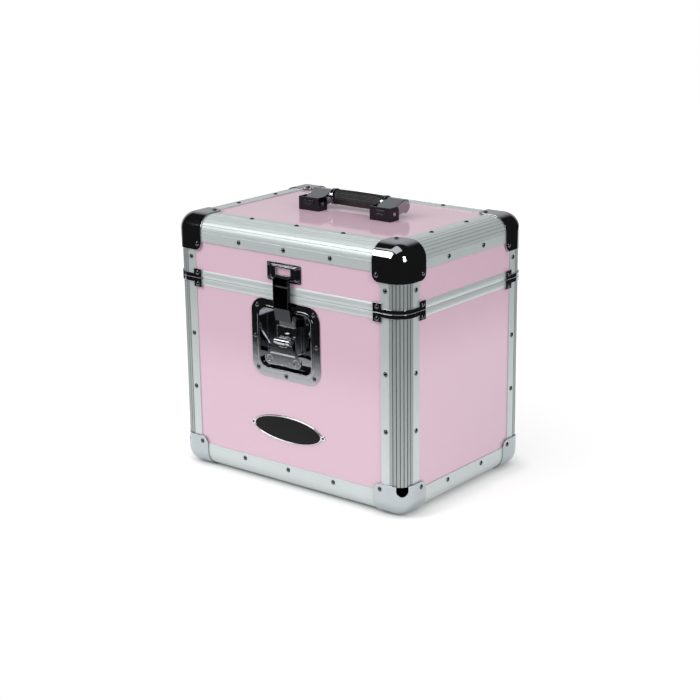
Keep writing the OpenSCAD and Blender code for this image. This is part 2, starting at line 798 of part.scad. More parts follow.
// Two-lobed wing that hangs from its pin over the spindle
module latch_wing() {
  wing_front = wing_pin_y - wing_t / 2;
  crease_x = knuckle_out + wing_crease_over;
  color(chrome) difference() {
    union() {
      front_slab(wing_front, wing_front + wing_t, spindle_z) wing_outline();
      rod_x(-knuckle_out, -knuckle_base, wing_pin_y, spindle_z, knuckle_r);
      rod_x(knuckle_base, knuckle_out, wing_pin_y, spindle_z, knuckle_r);
      rod_x(-crease_x, crease_x, wing_front, spindle_z - wing_crease, wing_crease_r, $fn = 24);
    }
    rod_x(-knuckle_out - past, knuckle_out + past, wing_pin_y, spindle_z, wing_pin_r + run_play);
    for (s = sides)
      rod_y(wing_front - past, wing_front + wing_t - wing_dimple_t, s * wing_lobe_x,
        spindle_z + wing_lobe_z, wing_dimple_r);
  }
}

// Plate that the eccentric disc drives up and down; its ears carry the tongue
module latch_slider() {
  cam_z = spindle_z - cam_near;
  low = cam_z - cam_r - slider_margin;
  high = tongue_pin_z - ear_r;
  slot_half = cam_r + cam_play;
  color(steel) difference() {
    union() {
      translate([-slider_w / 2, slider_y, low]) cube([slider_w, slider_t, high - low]);
      for (s = sides) {
        ear_x = s > 0 ? ear_in : -ear_out;
        translate([ear_x, slider_y, high - ear_root])
          cube([ear_out - ear_in, slider_t, ear_root + 2 * ear_r]);
        rod_x(ear_x, ear_x + ear_out - ear_in, tongue_pin_y, tongue_pin_z, ear_r);
      }
    }
    for (x = [cam_near, cam_e]) rod_y(slider_y - past, slider_back + past, x, cam_z, slot_half);
    translate([cam_near, slider_y - past, cam_z - slot_half])
      cube([cam_e - cam_near, slider_t + 2 * past, 2 * slot_half]);
    rod_x(-slider_w, slider_w, tongue_pin_y, tongue_pin_z, tongue_pin_r + run_play);
  }
}

module tongue_pin() {
  color(steel) rod_x(-ear_out, ear_out, tongue_pin_y, tongue_pin_z, tongue_pin_r);
}

// Channelled tongue that reaches over the parting line to the keeper
module latch_tongue() {
  barrel_half = ear_in - ear_play;
  bend_z = tongue_pin_z + tongue_bend;
  foot_z = tongue_pin_z - tongue_foot_low;
  foot_h = tongue_foot_low + tongue_foot_high;
  side = tongue_w / 2;
  color(chrome) difference() {
    union() {
      rod_x(-barrel_half, barrel_half, tongue_pin_y, tongue_pin_z, ear_r - ear_barrel_play);
      translate([-barrel_half, tongue_foot_back - join, foot_z])
        cube([2 * barrel_half, tongue_pin_y - tongue_foot_back + join, foot_h]);
      translate([-side, 0, 0]) rotate([90, 0, 90]) linear_extrude(tongue_w)
        polygon([
          [tongue_foot_back, foot_z], [tongue_foot_back, bend_z], [tongue_back, bend_z + tongue_bend_h],
          [tongue_back, tongue_top_z], [tongue_front, tongue_top_z], [tongue_front, bend_z],
          [tongue_foot_back - tongue_t, foot_z]
        ]);
      for (s = sides)
        translate([s * (side - tongue_rim_w / 2) - tongue_rim_w / 2, tongue_front - tongue_rim_h, bend_z])
          cube([tongue_rim_w, tongue_rim_h + join, tongue_top_z - bend_z - lip_h]);
      translate([lip_in - side, tongue_back - join, tongue_top_z - lip_h])
        cube([tongue_w - 2 * lip_in, lip_reach + join, lip_h]);
      rod_x(-side, side, tongue_front, tongue_top_z - tongue_bead_drop, tongue_bead_r, $fn = 24);
    }
    rod_x(-slider_w, slider_w, tongue_pin_y, tongue_pin_z, tongue_pin_r + run_play);
  }
}

// Stamped plate on the lid with the window that the tongue's lip reaches for
module keeper() {
  plate_y = panel_face_y - dish_t;
  box_w = keeper_w - 2 * keeper_box_in_x;
  box_h = keeper_h - 2 * keeper_box_in_z;
  color(chrome) difference() {
    union() {
      front_slab(plate_y, panel_face_y, keeper_mid_z) rounded_rect(keeper_w, keeper_h, keeper_round);
      front_slab(plate_y - keeper_box_t / 2, panel_face_y, keeper_mid_z)
        rounded_rect(box_w, box_h, keeper_round);
      front_slab(keeper_front, panel_face_y, keeper_mid_z)
        rounded_rect(box_w - 2 * keeper_step, box_h - 2 * keeper_step_z, keeper_round);
    }
    front_slab(keeper_front - past, panel_face_y + past, keeper_mid_z + window_up)
      rounded_rect(tongue_w - 2 * window_in, window_h, window_round);
    drill(keeper_places, ["front"]);
  }
}

// ---- hinges ----
leaf_t = 1.5;
leaf_y = half_d + seat_gap;
// How far the barrel reaches into the leaves
barrel_in = 1;
hinge_axis_y = leaf_y + leaf_t + barrel_r - barrel_in;
knuckle_gap = 0.4;
barrel_play = 0.5;
leaf_stop = barrel_r + barrel_play;

// One leaf with every second knuckle; up is 1 for the lid's leaf
module hinge_leaf(x, up) {
  knuckle_w = hinge_w / knuckle_n;
  first = up > 0 ? 1 : 0;
  difference() {
    union() {
      translate([x - hinge_w / 2, leaf_y, up > 0 ? parting_z + leaf_stop : parting_z - hinge_leaf_h])
        cube([hinge_w, leaf_t, hinge_leaf_h - leaf_stop]);
      for (i = [first:2:knuckle_n - 1])
        translate([x - hinge_w / 2 + i * knuckle_w + knuckle_gap / 2, 0, 0]) {
          rod_x(0, knuckle_w - knuckle_gap, hinge_axis_y, parting_z, barrel_r);
          translate([0, leaf_y, up > 0 ? parting_z : parting_z - leaf_stop - join])
            cube([knuckle_w - knuckle_gap, leaf_t, leaf_stop + join]);
        }
    }
    rod_x(x - hinge_w, x + hinge_w, hinge_axis_y, parting_z, hinge_pin_r + run_play);
    drill(up > 0 ? lid_hinge_places : body_hinge_places, ["back"]);
  }
}

module hinge_leaves(up) {
  color(steel) for (s = sides) hinge_leaf(s * hinge_x, up);
}

module hinge_pins() {
  color(steel) for (s = sides)
    rod_x(s * hinge_x - hinge_w / 2, s * hinge_x + hinge_w / 2, hinge_axis_y, parting_z, hinge_pin_r);
}

// ---- handle ----
lid_face_z = case_h - ext_wall;
pivot_at = [bracket_y + pivot_y, lid_face_z + pivot_z];
grip_at = pivot_at + arm_len * [cos(arm_slope), sin(arm_slope)];
arm_play = 0.4;
arm_w = bracket_w - 2 * bracket_t - 2 * arm_play;
arm_pivot_r = 6;
arm_end_r = 9;
arm_gap = 2;
ferrule_w = 5;
ferrule_out = 0.4;
grip_rod_r = 3;
grip_gap = 0.1;
grip_span = handle_span - arm_w;
ferrule_at = grip_span / 2 - ferrule_w;
bracket_round = 5;
stop_t = 2.5;
stop_in = 1;
stop_gap = 0.3;
frame_w = 17;
frame_h = 6;
frame_wall_x = 2;
frame_wall_z = 1.5;
frame_round = 1.5;
frame_out = 0.9;
frame_drop = 7.2;

// Side view of one of a bracket's cheeks
module cheek_outline() {
  square([bracket_d - bracket_round, bracket_h]);
  square([bracket_d, bracket_h - bracket_round]);
  translate([bracket_d - bracket_round, bracket_h - bracket_round]) circle(r = bracket_round);
}

// Pressed frame on a bracket's front
module bracket_frame() {
  difference() {
    rounded_rect(frame_w, frame_h, frame_round);
    rounded_rect(frame_w - 2 * frame_wall_x, frame_h - 2 * frame_wall_z, frame_round / 2);
  }
}

module handle_brackets() {
  color(chrome) for (s = sides) translate([handle_x + s * handle_span / 2, bracket_y, lid_face_z])
    difference() {
      union() {
        translate([-bracket_w / 2, 0, 0]) cube([bracket_w, bracket_d, bracket_t]);
        translate([-bracket_w / 2, 0, 0]) cube([bracket_w, bracket_t, bracket_h]);
        for (k = sides)
          translate([k * (bracket_w - bracket_t) / 2 - bracket_t / 2, 0, 0]) rotate([90, 0, 90])
            linear_extrude(bracket_t) cheek_outline();
        translate([0, join, bracket_h - frame_drop]) rotate([90, 0, 0])
          linear_extrude(frame_out + join) bracket_frame();
        translate([stop_in - arm_w / 2, bracket_d - stop_t, 0])
          cube([arm_w - 2 * stop_in, stop_t, stop_h()]);
      }
      rod_x(-bracket_w, bracket_w, pivot_y, pivot_z, handle_pin_r + run_play);
    }
}

// Height of the stop on the bracket's floor under the folded arm
function stop_h() =
  pivot_z + (bracket_d - stop_t - pivot_y) * tan(arm_slope) - arm_pivot_r / cos(arm_slope) - stop_gap;

module handle_pins() {
  color(steel) for (s = sides) {
    middle = handle_x + s * handle_span / 2;
    rod_x(middle - bracket_w / 2, middle + bracket_w / 2, pivot_at[0], pivot_at[1], handle_pin_r);
  }
}

// Side view of one arm, with x as the depth and y as the height, level from its pivot
module arm_profile() {
  waist = arm_len - arm_pivot_r;
  circle(r = arm_pivot_r);
  translate([arm_len, 0]) circle(r = arm_end_r);
  polygon([
    [0, -arm_pivot_r], [waist, -arm_pivot_r], [arm_len, -arm_end_r], [arm_len, arm_end_r],
    [0, arm_pivot_r]
  ]);
}

// Both sheet arms, joined by the rod through the grip
module handle_arms() {
  hollow_from = arm_pivot_r + arm_gap;
  hollow_to = arm_len - grip_rod_r - arm_gap;
  hollow_h = 2 * arm_end_r - 2 * arm_gap - bracket_t;
  color(chrome) difference() {
    union() {
      for (s = sides) translate([handle_x + s * handle_span / 2, pivot_at[0], pivot_at[1]])
        rotate([arm_slope, 0, 0]) difference() {
          translate([-arm_w / 2, 0, 0]) rotate([90, 0, 90]) linear_extrude(arm_w) arm_profile();
          translate([bracket_t - arm_w / 2, hollow_from, -arm_end_r - past])
            cube([arm_w - 2 * bracket_t, hollow_to - hollow_from, hollow_h + past]);
        }
      for (x = [handle_x - ferrule_at - ferrule_w, handle_x + ferrule_at])
        rod_x(x, x + ferrule_w, grip_at[0], grip_at[1], grip_r + ferrule_out, $fn = 64);
      rod_x(handle_x - grip_span / 2 - bracket_t, handle_x + grip_span / 2 + bracket_t,
        grip_at[0], grip_at[1], grip_rod_r);
    }
    rod_x(-half_w, half_w, pivot_at[0], pivot_at[1], handle_pin_r + run_play);
  }
}

module handle_grip() {
  reach = ferrule_at - grip_gap;
  color(black) difference() {
    rod_x(handle_x - reach, handle_x + reach, grip_at[0], grip_at[1], grip_r, $fn = 64);
    rod_x(-half_w, half_w, grip_at[0], grip_at[1], grip_rod_r + run_play);
  }
}

// ---- pads and rivet groups ----
module pad(z) {
  inset = edge_leg - leg_step + pad_margin;
  color(foam) translate([-half_w + inset, -half_d + inset, z])
    cube([case_w - 2 * inset, case_d - 2 * inset, pad_t]);
}

module body_rivets() {
  color(steel) {
    at_places(body_rivet_places) rivet(0, section_d, rivet_r);
    at_places(low_cap_places) rivet(cap_out, wall_t, rivet_r);
    at_places(body_brace_places) rivet(seat_gap + brace_t, wall_t, rivet_r);
    at_places(body_hinge_places) rivet(seat_gap + leaf_t, wall_t, rivet_r);
  }
}

module latch_rivets() {
  color(steel) at_places(dish_places) rivet(dish_t, panel_t, rivet_r);
}

module lid_rivets() {
  color(steel) {
    at_places(lid_rivet_places) rivet(0, section_d, rivet_r);
    at_places(top_cap_places) rivet(cap_out, wall_t, rivet_r);
    at_places(lid_brace_places) rivet(seat_gap + brace_t, wall_t, rivet_r);
    at_places(lid_hinge_places) rivet(seat_gap + leaf_t, wall_t, rivet_r);
    at_places(keeper_places) rivet(dish_t, panel_t, small_rivet_r);
  }
}

// ---- body panels ----
module front_panel() {
  color(pink) difference() {
    wall_y_panel(-1, body_panel_low, body_panel_top, body_holes);
    dish_cutout();
  }
}
module back_panel() { color(pink) wall_y_panel(1, body_panel_low, body_panel_top, body_holes); }
module left_panel() { color(pink) wall_x_panel(-1, body_panel_low, body_panel_top, body_holes); }
module right_panel() { color(pink) wall_x_panel(1, body_panel_low, body_panel_top, body_holes); }
module base_panel() { color(pink) flat_panel(base_z + ext_wall, body_holes, "bottom"); }

// ---- lid panels ----
module lid_top_panel() { color(pink) flat_panel(case_h - ext_wall - panel_t, lid_holes, "top"); }
module lid_front_panel() { color(pink) wall_y_panel(-1, lid_panel_low, lid_panel_high, lid_holes); }
module lid_back_panel() { color(pink) wall_y_panel(1, lid_panel_low, lid_panel_high, lid_holes); }
module lid_left_panel() { color(pink) wall_x_panel(-1, lid_panel_low, lid_panel_high, lid_holes); }
module lid_right_panel() { color(pink) wall_x_panel(1, lid_panel_low, lid_panel_high, lid_holes); }

module body_post(sx, sy) { color(aluminium) post(sx, sy, post_low, body_top, body_holes); }
module lid_post(sx, sy) { color(aluminium) post(sx, sy, lid_bottom, post_high, lid_holes); }
module bottom_edge_x(sy) { color(aluminium) edge_x(sy, -1, 0, body_holes); }
module bottom_edge_y(sx) { color(aluminium) edge_y(sx, -1, 0, body_holes); }
module top_edge_x(sy) { color(aluminium) edge_x(sy, 1, groove_n, lid_holes); }
module top_edge_y(sx) { color(aluminium) edge_y(sx, 1, groove_n, lid_holes); }

front_panel();
back_panel();
left_panel();
right_panel();
base_panel();
body_post(-1, -1);  // body_post_front_left
body_post(1, -1);  // body_post_front_right
body_post(-1, 1);  // body_post_back_left
body_post(1, 1);  // body_post_back_right
bottom_edge_x(-1);  // bottom_edge_front
bottom_edge_x(1);  // bottom_edge_back
bottom_edge_y(-1);  // bottom_edge_left
bottom_edge_y(1);  // bottom_edge_right
rail_ring(body_holes) body_rail_section();  // body_rails
bottom_corner(-1, -1);  // bottom_corner_front_left
bottom_corner(1, -1);  // bottom_corner_front_right
bottom_corner(-1, 1);  // bottom_corner_back_left
bottom_corner(1, 1);  // bottom_corner_back_right
braces(body_top, false, body_brace_places);  // body_corner_braces
latch_dish();
latch_bridge();
latch_spindle();
latch_wing();
wing_pin();
latch_slider();
latch_tongue();
tongue_pin();
pad(base_z + ext_wall + panel_t);  // base_pad
hinge_leaves(-1);  // hinge_body_leaves
hinge_pins();
body_rivets();
latch_rivets();
lid_top_panel();
lid_front_panel();
lid_back_panel();
lid_left_panel();
lid_right_panel();
lid_post(-1, -1);  // lid_post_front_left
lid_post(1, -1);  // lid_post_front_right
lid_post(-1, 1);  // lid_post_back_left
lid_post(1, 1);  // lid_post_back_right
top_edge_x(-1);  // top_edge_front
top_edge_x(1);  // top_edge_back
top_edge_y(-1);  // top_edge_left
top_edge_y(1);  // top_edge_right
rail_ring(lid_holes) lid_rail_section();  // lid_rails
top_corner(-1, -1);  // top_corner_front_left
top_corner(1, -1);  // top_corner_front_right
top_corner(-1, 1);  // top_corner_back_left
top_corner(1, 1);  // top_corner_back_right
braces(lid_bottom, true, lid_brace_places);  // lid_corner_braces
keeper();
lid_rivets();
hinge_leaves(1);  // hinge_lid_leaves
pad(case_h - ext_wall - panel_t - pad_t);  // lid_pad
handle_brackets();
handle_pins();
handle_arms();
handle_grip();
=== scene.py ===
"""Dresses the record carrying case: finishes for its CAD pieces, the moulded grip, the
foam linings and the bare oval badge, in a plain studio at the photograph's viewing angle.

Lengths are in metres in the case's own frame: +Z up, the latch faces -Y, and the origin
is on the floor under the middle of the box.
"""

import logging
import math
from dataclasses import dataclass, field
from enum import Enum
from typing import Dict, Iterable, List, Optional, Sequence, Tuple

import bpy
import numpy as np
from mathutils import Matrix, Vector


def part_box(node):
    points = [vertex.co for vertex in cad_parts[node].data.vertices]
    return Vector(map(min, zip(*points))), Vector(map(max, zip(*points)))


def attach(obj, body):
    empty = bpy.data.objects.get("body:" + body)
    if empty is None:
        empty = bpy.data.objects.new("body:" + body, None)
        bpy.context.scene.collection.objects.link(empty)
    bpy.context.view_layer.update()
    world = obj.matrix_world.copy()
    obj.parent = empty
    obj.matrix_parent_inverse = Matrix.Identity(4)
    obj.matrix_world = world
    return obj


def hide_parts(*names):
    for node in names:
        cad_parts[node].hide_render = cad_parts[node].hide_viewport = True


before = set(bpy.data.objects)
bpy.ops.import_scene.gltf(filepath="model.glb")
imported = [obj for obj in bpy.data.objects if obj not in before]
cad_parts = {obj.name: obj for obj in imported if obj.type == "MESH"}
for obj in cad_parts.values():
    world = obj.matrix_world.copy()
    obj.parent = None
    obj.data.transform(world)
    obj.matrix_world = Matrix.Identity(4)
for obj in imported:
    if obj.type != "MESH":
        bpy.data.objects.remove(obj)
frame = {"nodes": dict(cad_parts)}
LOG = logging.getLogger("record_case")
MM = 0.001
WHITE = "ffffff"
# Most values of a noise lie between these two
NOISE_LOW = 0.3
NOISE_HIGH = 0.7
Colour = Tuple[float, float, float, float]
Triple = Tuple[float, float, float]
Span = Tuple[float, float]


class Axis(Enum):
    """Direction that an extrusion runs in, as the index of its coordinate."""

    X = 0
    Y = 1
    Z = 2


class Body(Enum):
    """The rigid bodies that new pieces ride on."""

    CASE = "case_body"
    LID = "lid"
    HANDLE = "handle"


def linear(code: str, share: float = 1.0) -> Colour:
    """Turns an sRGB hex colour to linear light.

    Args:
        code: six hex digits, such as "ddbecd".
        share: how much of the colour's light is kept, or more than 1 to raise it.

    Returns:
        Red, green, blue and an alpha of 1, none of them over 1.
    """
    channels = np.array([int(code[i : i + 2], 16) for i in (0, 2, 4)]) / 255.0
    low = channels / 12.92
    high = ((channels + 0.055) / 1.055) ** 2.4
    light = np.where(channels <= 0.04045, low, high) * share
    red, green, blue = np.minimum(light, 1.0)
    return float(red), float(green), float(blue), 1.0


def add_node(
    tree: bpy.types.NodeTree,
    kind: str,
    settings: Optional[Dict[str, object]] = None,
    inputs: Optional[Dict[object, object]] = None,
) -> bpy.types.Node:
    """Adds one node with its settings, its values and its links.

    Args:
        tree: node tree to add to.
        kind: Blender's type name of the node.
        settings: attributes of the node by name.
        inputs: by each input's name or number, a value, a source socket, or a node whose
            first output is the source.

    Returns:
        The new node.
    """
    node = tree.nodes.new(kind)
    for key, value in (settings or {}).items():
        setattr(node, key, value)
    for key, value in (inputs or {}).items():
        source = value.outputs[0] if isinstance(value, bpy.types.Node) else value
        if isinstance(source, bpy.types.NodeSocket):
            tree.links.new(source, node.inputs[key])
        else:
            node.inputs[key].default_value = source
    return node


def new_material(name: str) -> Tuple[bpy.types.Material, bpy.types.NodeTree]:
    """Makes an empty node material.

    Args:
        name: name of the material.

    Returns:
        The material and its node tree.
    """
    material = bpy.data.materials.new(name)
    material.use_nodes = True
    material.node_tree.nodes.clear()
    return material, material.node_tree


def grain(tree: bpy.types.NodeTree, size: Triple, detail: float) -> bpy.types.Node:
    """Noise on Object coordinates with its own grain size along each axis.

    The pattern's scale along an axis is one over the grain size in metres.

    Args:
        tree: node tree of the material.
        size: grain size along X, Y and Z in metres.
        detail: octaves of the noise.

    Returns:
        The noise node.
    """
    place = add_node(tree, "ShaderNodeTexCoord")
    stretch = add_node(
        tree,
        "ShaderNodeMapping",
        inputs={"Vector": place.outputs["Object"], "Scale": tuple(1.0 / s for s in size)},
    )
    return add_node(
        tree, "ShaderNodeTexNoise", inputs={"Vector": stretch, "Scale": 1.0, "Detail": detail}
    )


def drift(tree: bpy.types.NodeTree, size: Triple, span: Span, detail: float) -> bpy.types.Node:
    """A value that drifts from place to place between two limits, as grain of its own.

    Args:
        tree: node tree of the material.
        size: grain size along X, Y and Z in metres.
        span: the value at the noise's low and high ends.
        detail: octaves of the noise.

    Returns:
        The node whose first output is the value.
    """
    return add_node(
        tree,
        "ShaderNodeMapRange",
        inputs={
            "Value": grain(tree, size, detail),
            "From Min": NOISE_LOW,
            "From Max": NOISE_HIGH,
            "To Min": span[0],
            "To Max": span[1],
        },
    )


@dataclass(frozen=True)
class PressedLaminate:
    """High-pressure laminate with a gloss pink face, glued on plywood.

    The press leaves a hard mirror-like film with a faint long wave that bends reflections.
    Inside the case the same panels carry a dull dark lining with a short nap.
    """

    room: Tuple[np.ndarray, np.ndarray]
    name: str = "gloss_laminate_pressed"
    face: str = "dcbccb"
    ior: float = 1.6
    gloss: Span = (0.07, 0.10)
    gloss_drift: float = 35 * MM
    wave: float = 60 * MM
    wave_height: float = 0.05 * MM
    lining: str = "2b2a2d"
    lining_reach: float = 0.1 * MM
    lining_roughness: float = 0.9
    nap: float = 1.2 * MM
    nap_height: float = 0.4 * MM

    def build(self) -> bpy.types.Material:
        """Makes the material, with the lining where a point lies within the inner walls.

        Returns:
            The material of both faces.
        """
        material, tree = new_material(self.name)
        inside = self._inside(tree)
        colour = add_node(
            tree,
            "ShaderNodeMix",
            {"data_type": "RGBA"},
            {0: inside, 6: linear(self.face), 7: linear(self.lining)},
        )
        film = drift(tree, (self.gloss_drift,) * 3, self.gloss, detail=3.0)
        gloss = add_node(
            tree,
            "ShaderNodeMix",
            {"data_type": "FLOAT"},
            {0: inside, 2: film, 3: self.lining_roughness},
        )
        wave_bump = add_node(
            tree,
            "ShaderNodeBump",
            inputs={
                "Height": grain(tree, (self.wave,) * 3, detail=1.0),
                "Distance": self.wave_height,
                "Strength": 1.0,
            },
        )
        nap = add_node(
            tree,
            "ShaderNodeMath",
            {"operation": "MULTIPLY"},
            {0: grain(tree, (self.nap,) * 3, detail=2.0), 1: inside},
        )
        nap_bump = add_node(
            tree,
            "ShaderNodeBump",
            inputs={"Height": nap, "Distance": self.nap_height, "Normal": wave_bump},
        )
        shader = add_node(
            tree,
            "ShaderNodeBsdfPrincipled",
            inputs={
                "Base Color": colour.outputs[2],
                "Roughness": gloss,
                "Normal": nap_bump,
                "IOR": self.ior,
            },
        )
        add_node(tree, "ShaderNodeOutputMaterial", inputs={"Surface": shader})
        return material

    def _inside(self, tree: bpy.types.NodeTree) -> bpy.types.Node:
        """Value 1 within the room and 0 outside it.

        A point is inside if its distance from the room's middle along each axis is less
        than half the room, and a little more so that the walls' own faces count.

        Args:
            tree: node tree of the material.

        Returns:
            The node whose first output is the value.
        """
        low, high = self.room
        place = add_node(tree, "ShaderNodeTexCoord")
        apart = add_node(
            tree,
            "ShaderNodeVectorMath",
            {"operation": "SUBTRACT"},
            {0: place.outputs["Object"], 1: tuple((low + high) / 2)},
        )
        size = add_node(tree, "ShaderNodeVectorMath", {"operation": "ABSOLUTE"}, {0: apart})
        parts = add_node(tree, "ShaderNodeSeparateXYZ", inputs={0: size})
        inside: object = 1.0
        for part, half in zip(parts.outputs, (high - low) / 2 + self.lining_reach):
            near = add_node(tree, "ShaderNodeMath", {"operation": "LESS_THAN"}, {0: part, 1: half})
            inside = add_node(
                tree, "ShaderNodeMath", {"operation": "MULTIPLY"}, {0: inside, 1: near}
            )
        return inside


@dataclass(frozen=True)
class AnodisedExtrusion:
    """Extruded aluminium with a clear satin anodised skin.

    The die draws fine lines along the length, which spread highlights across it. They are
    drawn coarser than the real ones, so that they show. The etched skin under the oxide
    scatters part of the light as paint does, so the share of metal is below one. The grooves
    of the rounded edge are painted darker, as painted shade and painted dark reflection.
    """

    name: str
    run: Axis
    edge_middle: Triple
    edge_r: float
    groove_shade_tone: str
    land: float
    metal_share: float
    groove_depth: float = 0.08 * MM
    groove_fade: float = 0.24 * MM
    tone: str = "cdd5d4"
    roughness: Span = (0.36, 0.44)
    gloss_drift: float = 60 * MM
    line: float = 1.1 * MM
    line_length: float = 400 * MM
    line_contrast: float = 0.06
    line_height: float = 0.004 * MM
    line_strength: float = 0.5

    def build(self) -> bpy.types.Material:
        """Makes the material with its die lines and its grooves.

        Returns:
            The material of the extrusions that run along one axis.
        """
        material, tree = new_material(self.name)
        spacing = [self.line] * 3
        spacing[self.run.value] = self.line_length
        lines = grain(tree, tuple(spacing), detail=1.0)
        skin = add_node(
            tree,
            "ShaderNodeMix",
            {"data_type": "RGBA"},
            {
                0: lines,
                6: linear(self.tone, 1.0 - self.line_contrast),
                7: linear(self.tone, 1.0 + self.line_contrast),
            },
        )
        # Painted shade and painted dark reflection: the grooves take the groove shade tone
        shade = add_node(
            tree,
            "ShaderNodeMix",
            {"data_type": "RGBA"},
            {0: self._painted_groove_shade(tree), 6: skin.outputs[2], 7: linear(self.groove_shade_tone)},
        )
        bump = add_node(
            tree,
            "ShaderNodeBump",
            inputs={
                "Height": lines,
                "Distance": self.line_height,
                "Strength": self.line_strength,
            },
        )
        shader = add_node(
            tree,
            "ShaderNodeBsdfPrincipled",
            inputs={
                "Base Color": shade.outputs[2],
                "Metallic": self.metal_share,
                "Roughness": drift(tree, (self.gloss_drift,) * 3, self.roughness, detail=2.0),
                "Normal": bump,
            },
        )
        add_node(tree, "ShaderNodeOutputMaterial", inputs={"Surface": shader})
        return material

    def _painted_groove_shade(self, tree: bpy.types.NodeTree) -> bpy.types.Node:
        """Painted shade: 1 in the grooves of the rounded edge, less on the land between, 0 beside
        it.

        With p and q the two coordinates across the run, a point belongs to the rounded
        edge where |p| and |q| are both past the edge's middle. Its distance from the
        middle is the edge's radius on the land, and the value rises to 1 as the distance
        falls short of that by the groove's depth and then by its fade.

        Args:
            tree: node tree of the material.

        Returns:
            The node whose first output is the value.
        """
        across = [1.0, 1.0, 1.0]
        across[self.run.value] = 0.0
        place = add_node(tree, "ShaderNodeTexCoord")
        size = add_node(
            tree, "ShaderNodeVectorMath", {"operation": "ABSOLUTE"}, {0: place.outputs["Object"]}
        )
        apart = add_node(
            tree, "ShaderNodeVectorMath", {"operation": "SUBTRACT"}, {0: size, 1: self.edge_middle}
        )
        past = add_node(
            tree, "ShaderNodeVectorMath", {"operation": "MULTIPLY"}, {0: apart, 1: tuple(across)}
        )
        away = add_node(tree, "ShaderNodeVectorMath", {"operation": "LENGTH"}, {0: past})
        painted_shade = add_node(
            tree,
            "ShaderNodeMapRange",
            inputs={
                "Value": away.outputs["Value"],
                "From Min": self.edge_r - self.groove_depth,
                "From Max": self.edge_r - self.groove_depth - self.groove_fade,
                "To Min": self.land,
                "To Max": 1.0,
            },
        )
        parts = add_node(tree, "ShaderNodeSeparateXYZ", inputs={0: past})
        for index, part in enumerate(parts.outputs):
            if index != self.run.value:
                outside = add_node(
                    tree, "ShaderNodeMath", {"operation": "GREATER_THAN"}, {0: part, 1: 0.0}
                )
                painted_shade = add_node(
                    tree, "ShaderNodeMath", {"operation": "MULTIPLY"}, {0: painted_shade, 1: outside}
                )
        return painted_shade


@dataclass(frozen=True)
class PlatedMetal:
    """Pressed steel with a plated skin: nickel-chrome, zinc or bare polish by its numbers.

    Plating follows the pressed sheet, so reflections waver a little, fine hairlines break
    up the highlights, and the edges are worn round, which gives them a bright line. The
    hairlines are drawn coarser than the real ones, so that they show.
    """

    name: str
    tone: str
    roughness: Span
    ripple: float = 9 * MM
    ripple_height: float = 0.03 * MM
    hairline: float = 0.5 * MM
    hairline_length: float = 14 * MM
    worn_edge: float = 0.8 * MM
    edge_samples: int = 6

    def build(self) -> bpy.types.Material:
        """Makes the metal with its ripple, its hairlines and its worn edges.

        Returns:
            The material.
        """
        material, tree = new_material(self.name)
        edge = add_node(
            tree, "ShaderNodeBevel", {"samples": self.edge_samples}, {"Radius": self.worn_edge}
        )
        bump = add_node(
            tree,
            "ShaderNodeBump",
            inputs={
                "Height": grain(tree, (self.ripple,) * 3, detail=1.0),
                "Distance": self.ripple_height,
                "Strength": 1.0,
                "Normal": edge,
            },
        )
        hair = (self.hairline, self.hairline_length, self.hairline)
        shader = add_node(
            tree,
            "ShaderNodeBsdfPrincipled",
            inputs={
                "Base Color": linear(self.tone),
                "Metallic": 1.0,
                "Roughness": drift(tree, hair, self.roughness, detail=2.0),
                "Normal": bump,
            },
        )
        add_node(tree, "ShaderNodeOutputMaterial", inputs={"Surface": shader})
        return material


@dataclass(frozen=True)
class PolymerSkin:
    """An opaque polymer skin: PVC with the eroded grain of its mould, or sprayed lacquer.

    The grain softens the edge of each highlight, and the gloss drifts with handling.
    """

    name: str
    tone: str
    roughness: Span
    grain_size: float = 0.6 * MM
    grain_height: float = 0.05 * MM
    grain_strength: float = 0.7
    gloss_drift: float = 18 * MM
    ior: float = 1.5

    def build(self) -> bpy.types.Material:
        """Makes the material with its grain as bump.

        Returns:
            The material.
        """
        material, tree = new_material(self.name)
        bump = add_node(
            tree,
            "ShaderNodeBump",
            inputs={
                "Height": grain(tree, (self.grain_size,) * 3, detail=2.0),
                "Distance": self.grain_height,
                "Strength": self.grain_strength,
            },
        )
        shader = add_node(
            tree,
            "ShaderNodeBsdfPrincipled",
            inputs={
                "Base Color": linear(self.tone),
                "Roughness": drift(tree, (self.gloss_drift,) * 3, self.roughness, detail=2.0),
                "Normal": bump,
                "IOR": self.ior,
            },
        )
        add_node(tree, "ShaderNodeOutputMaterial", inputs={"Surface": shader})
        return material


@dataclass(frozen=True)
class ClosedCellFoam:
    """Sliced EVA foam: dull, with open pores where the knife cut the cells."""

    name: str = "eva_foam_sliced"
    tone: str = "1d1d1f"
    roughness: float = 0.92
    pore: float = 1.1 * MM
    pore_depth: float = 0.3 * MM
    pore_strength: float = 0.8
    pore_shade: Span = (0.6, 1.6)

    def build(self) -> bpy.types.Material:
        """Makes the foam with pores from Voronoi cells about a millimetre across.

        Returns:
            The material.
        """
        material, tree = new_material(self.name)
        place = add_node(tree, "ShaderNodeTexCoord")
        pores = add_node(
            tree,
            "ShaderNodeTexVoronoi",
            inputs={"Vector": place.outputs["Object"], "Scale": 1.0 / self.pore},
        ).outputs["Distance"]
        bump = add_node(
            tree,
            "ShaderNodeBump",
            inputs={"Height": pores, "Distance": self.pore_depth, "Strength": self.pore_strength},
        )
        low, high = (linear(self.tone, share) for share in self.pore_shade)
        shade = add_node(
            tree, "ShaderNodeMix", {"data_type": "RGBA"}, {0: pores, 6: low, 7: high}
        )
        shader = add_node(
            tree,
            "ShaderNodeBsdfPrincipled",
            inputs={
                "Base Color": shade.outputs[2],
                "Roughness": self.roughness,
                "Normal": bump,
            },
        )
        add_node(tree, "ShaderNodeOutputMaterial", inputs={"Surface": shader})
        return material


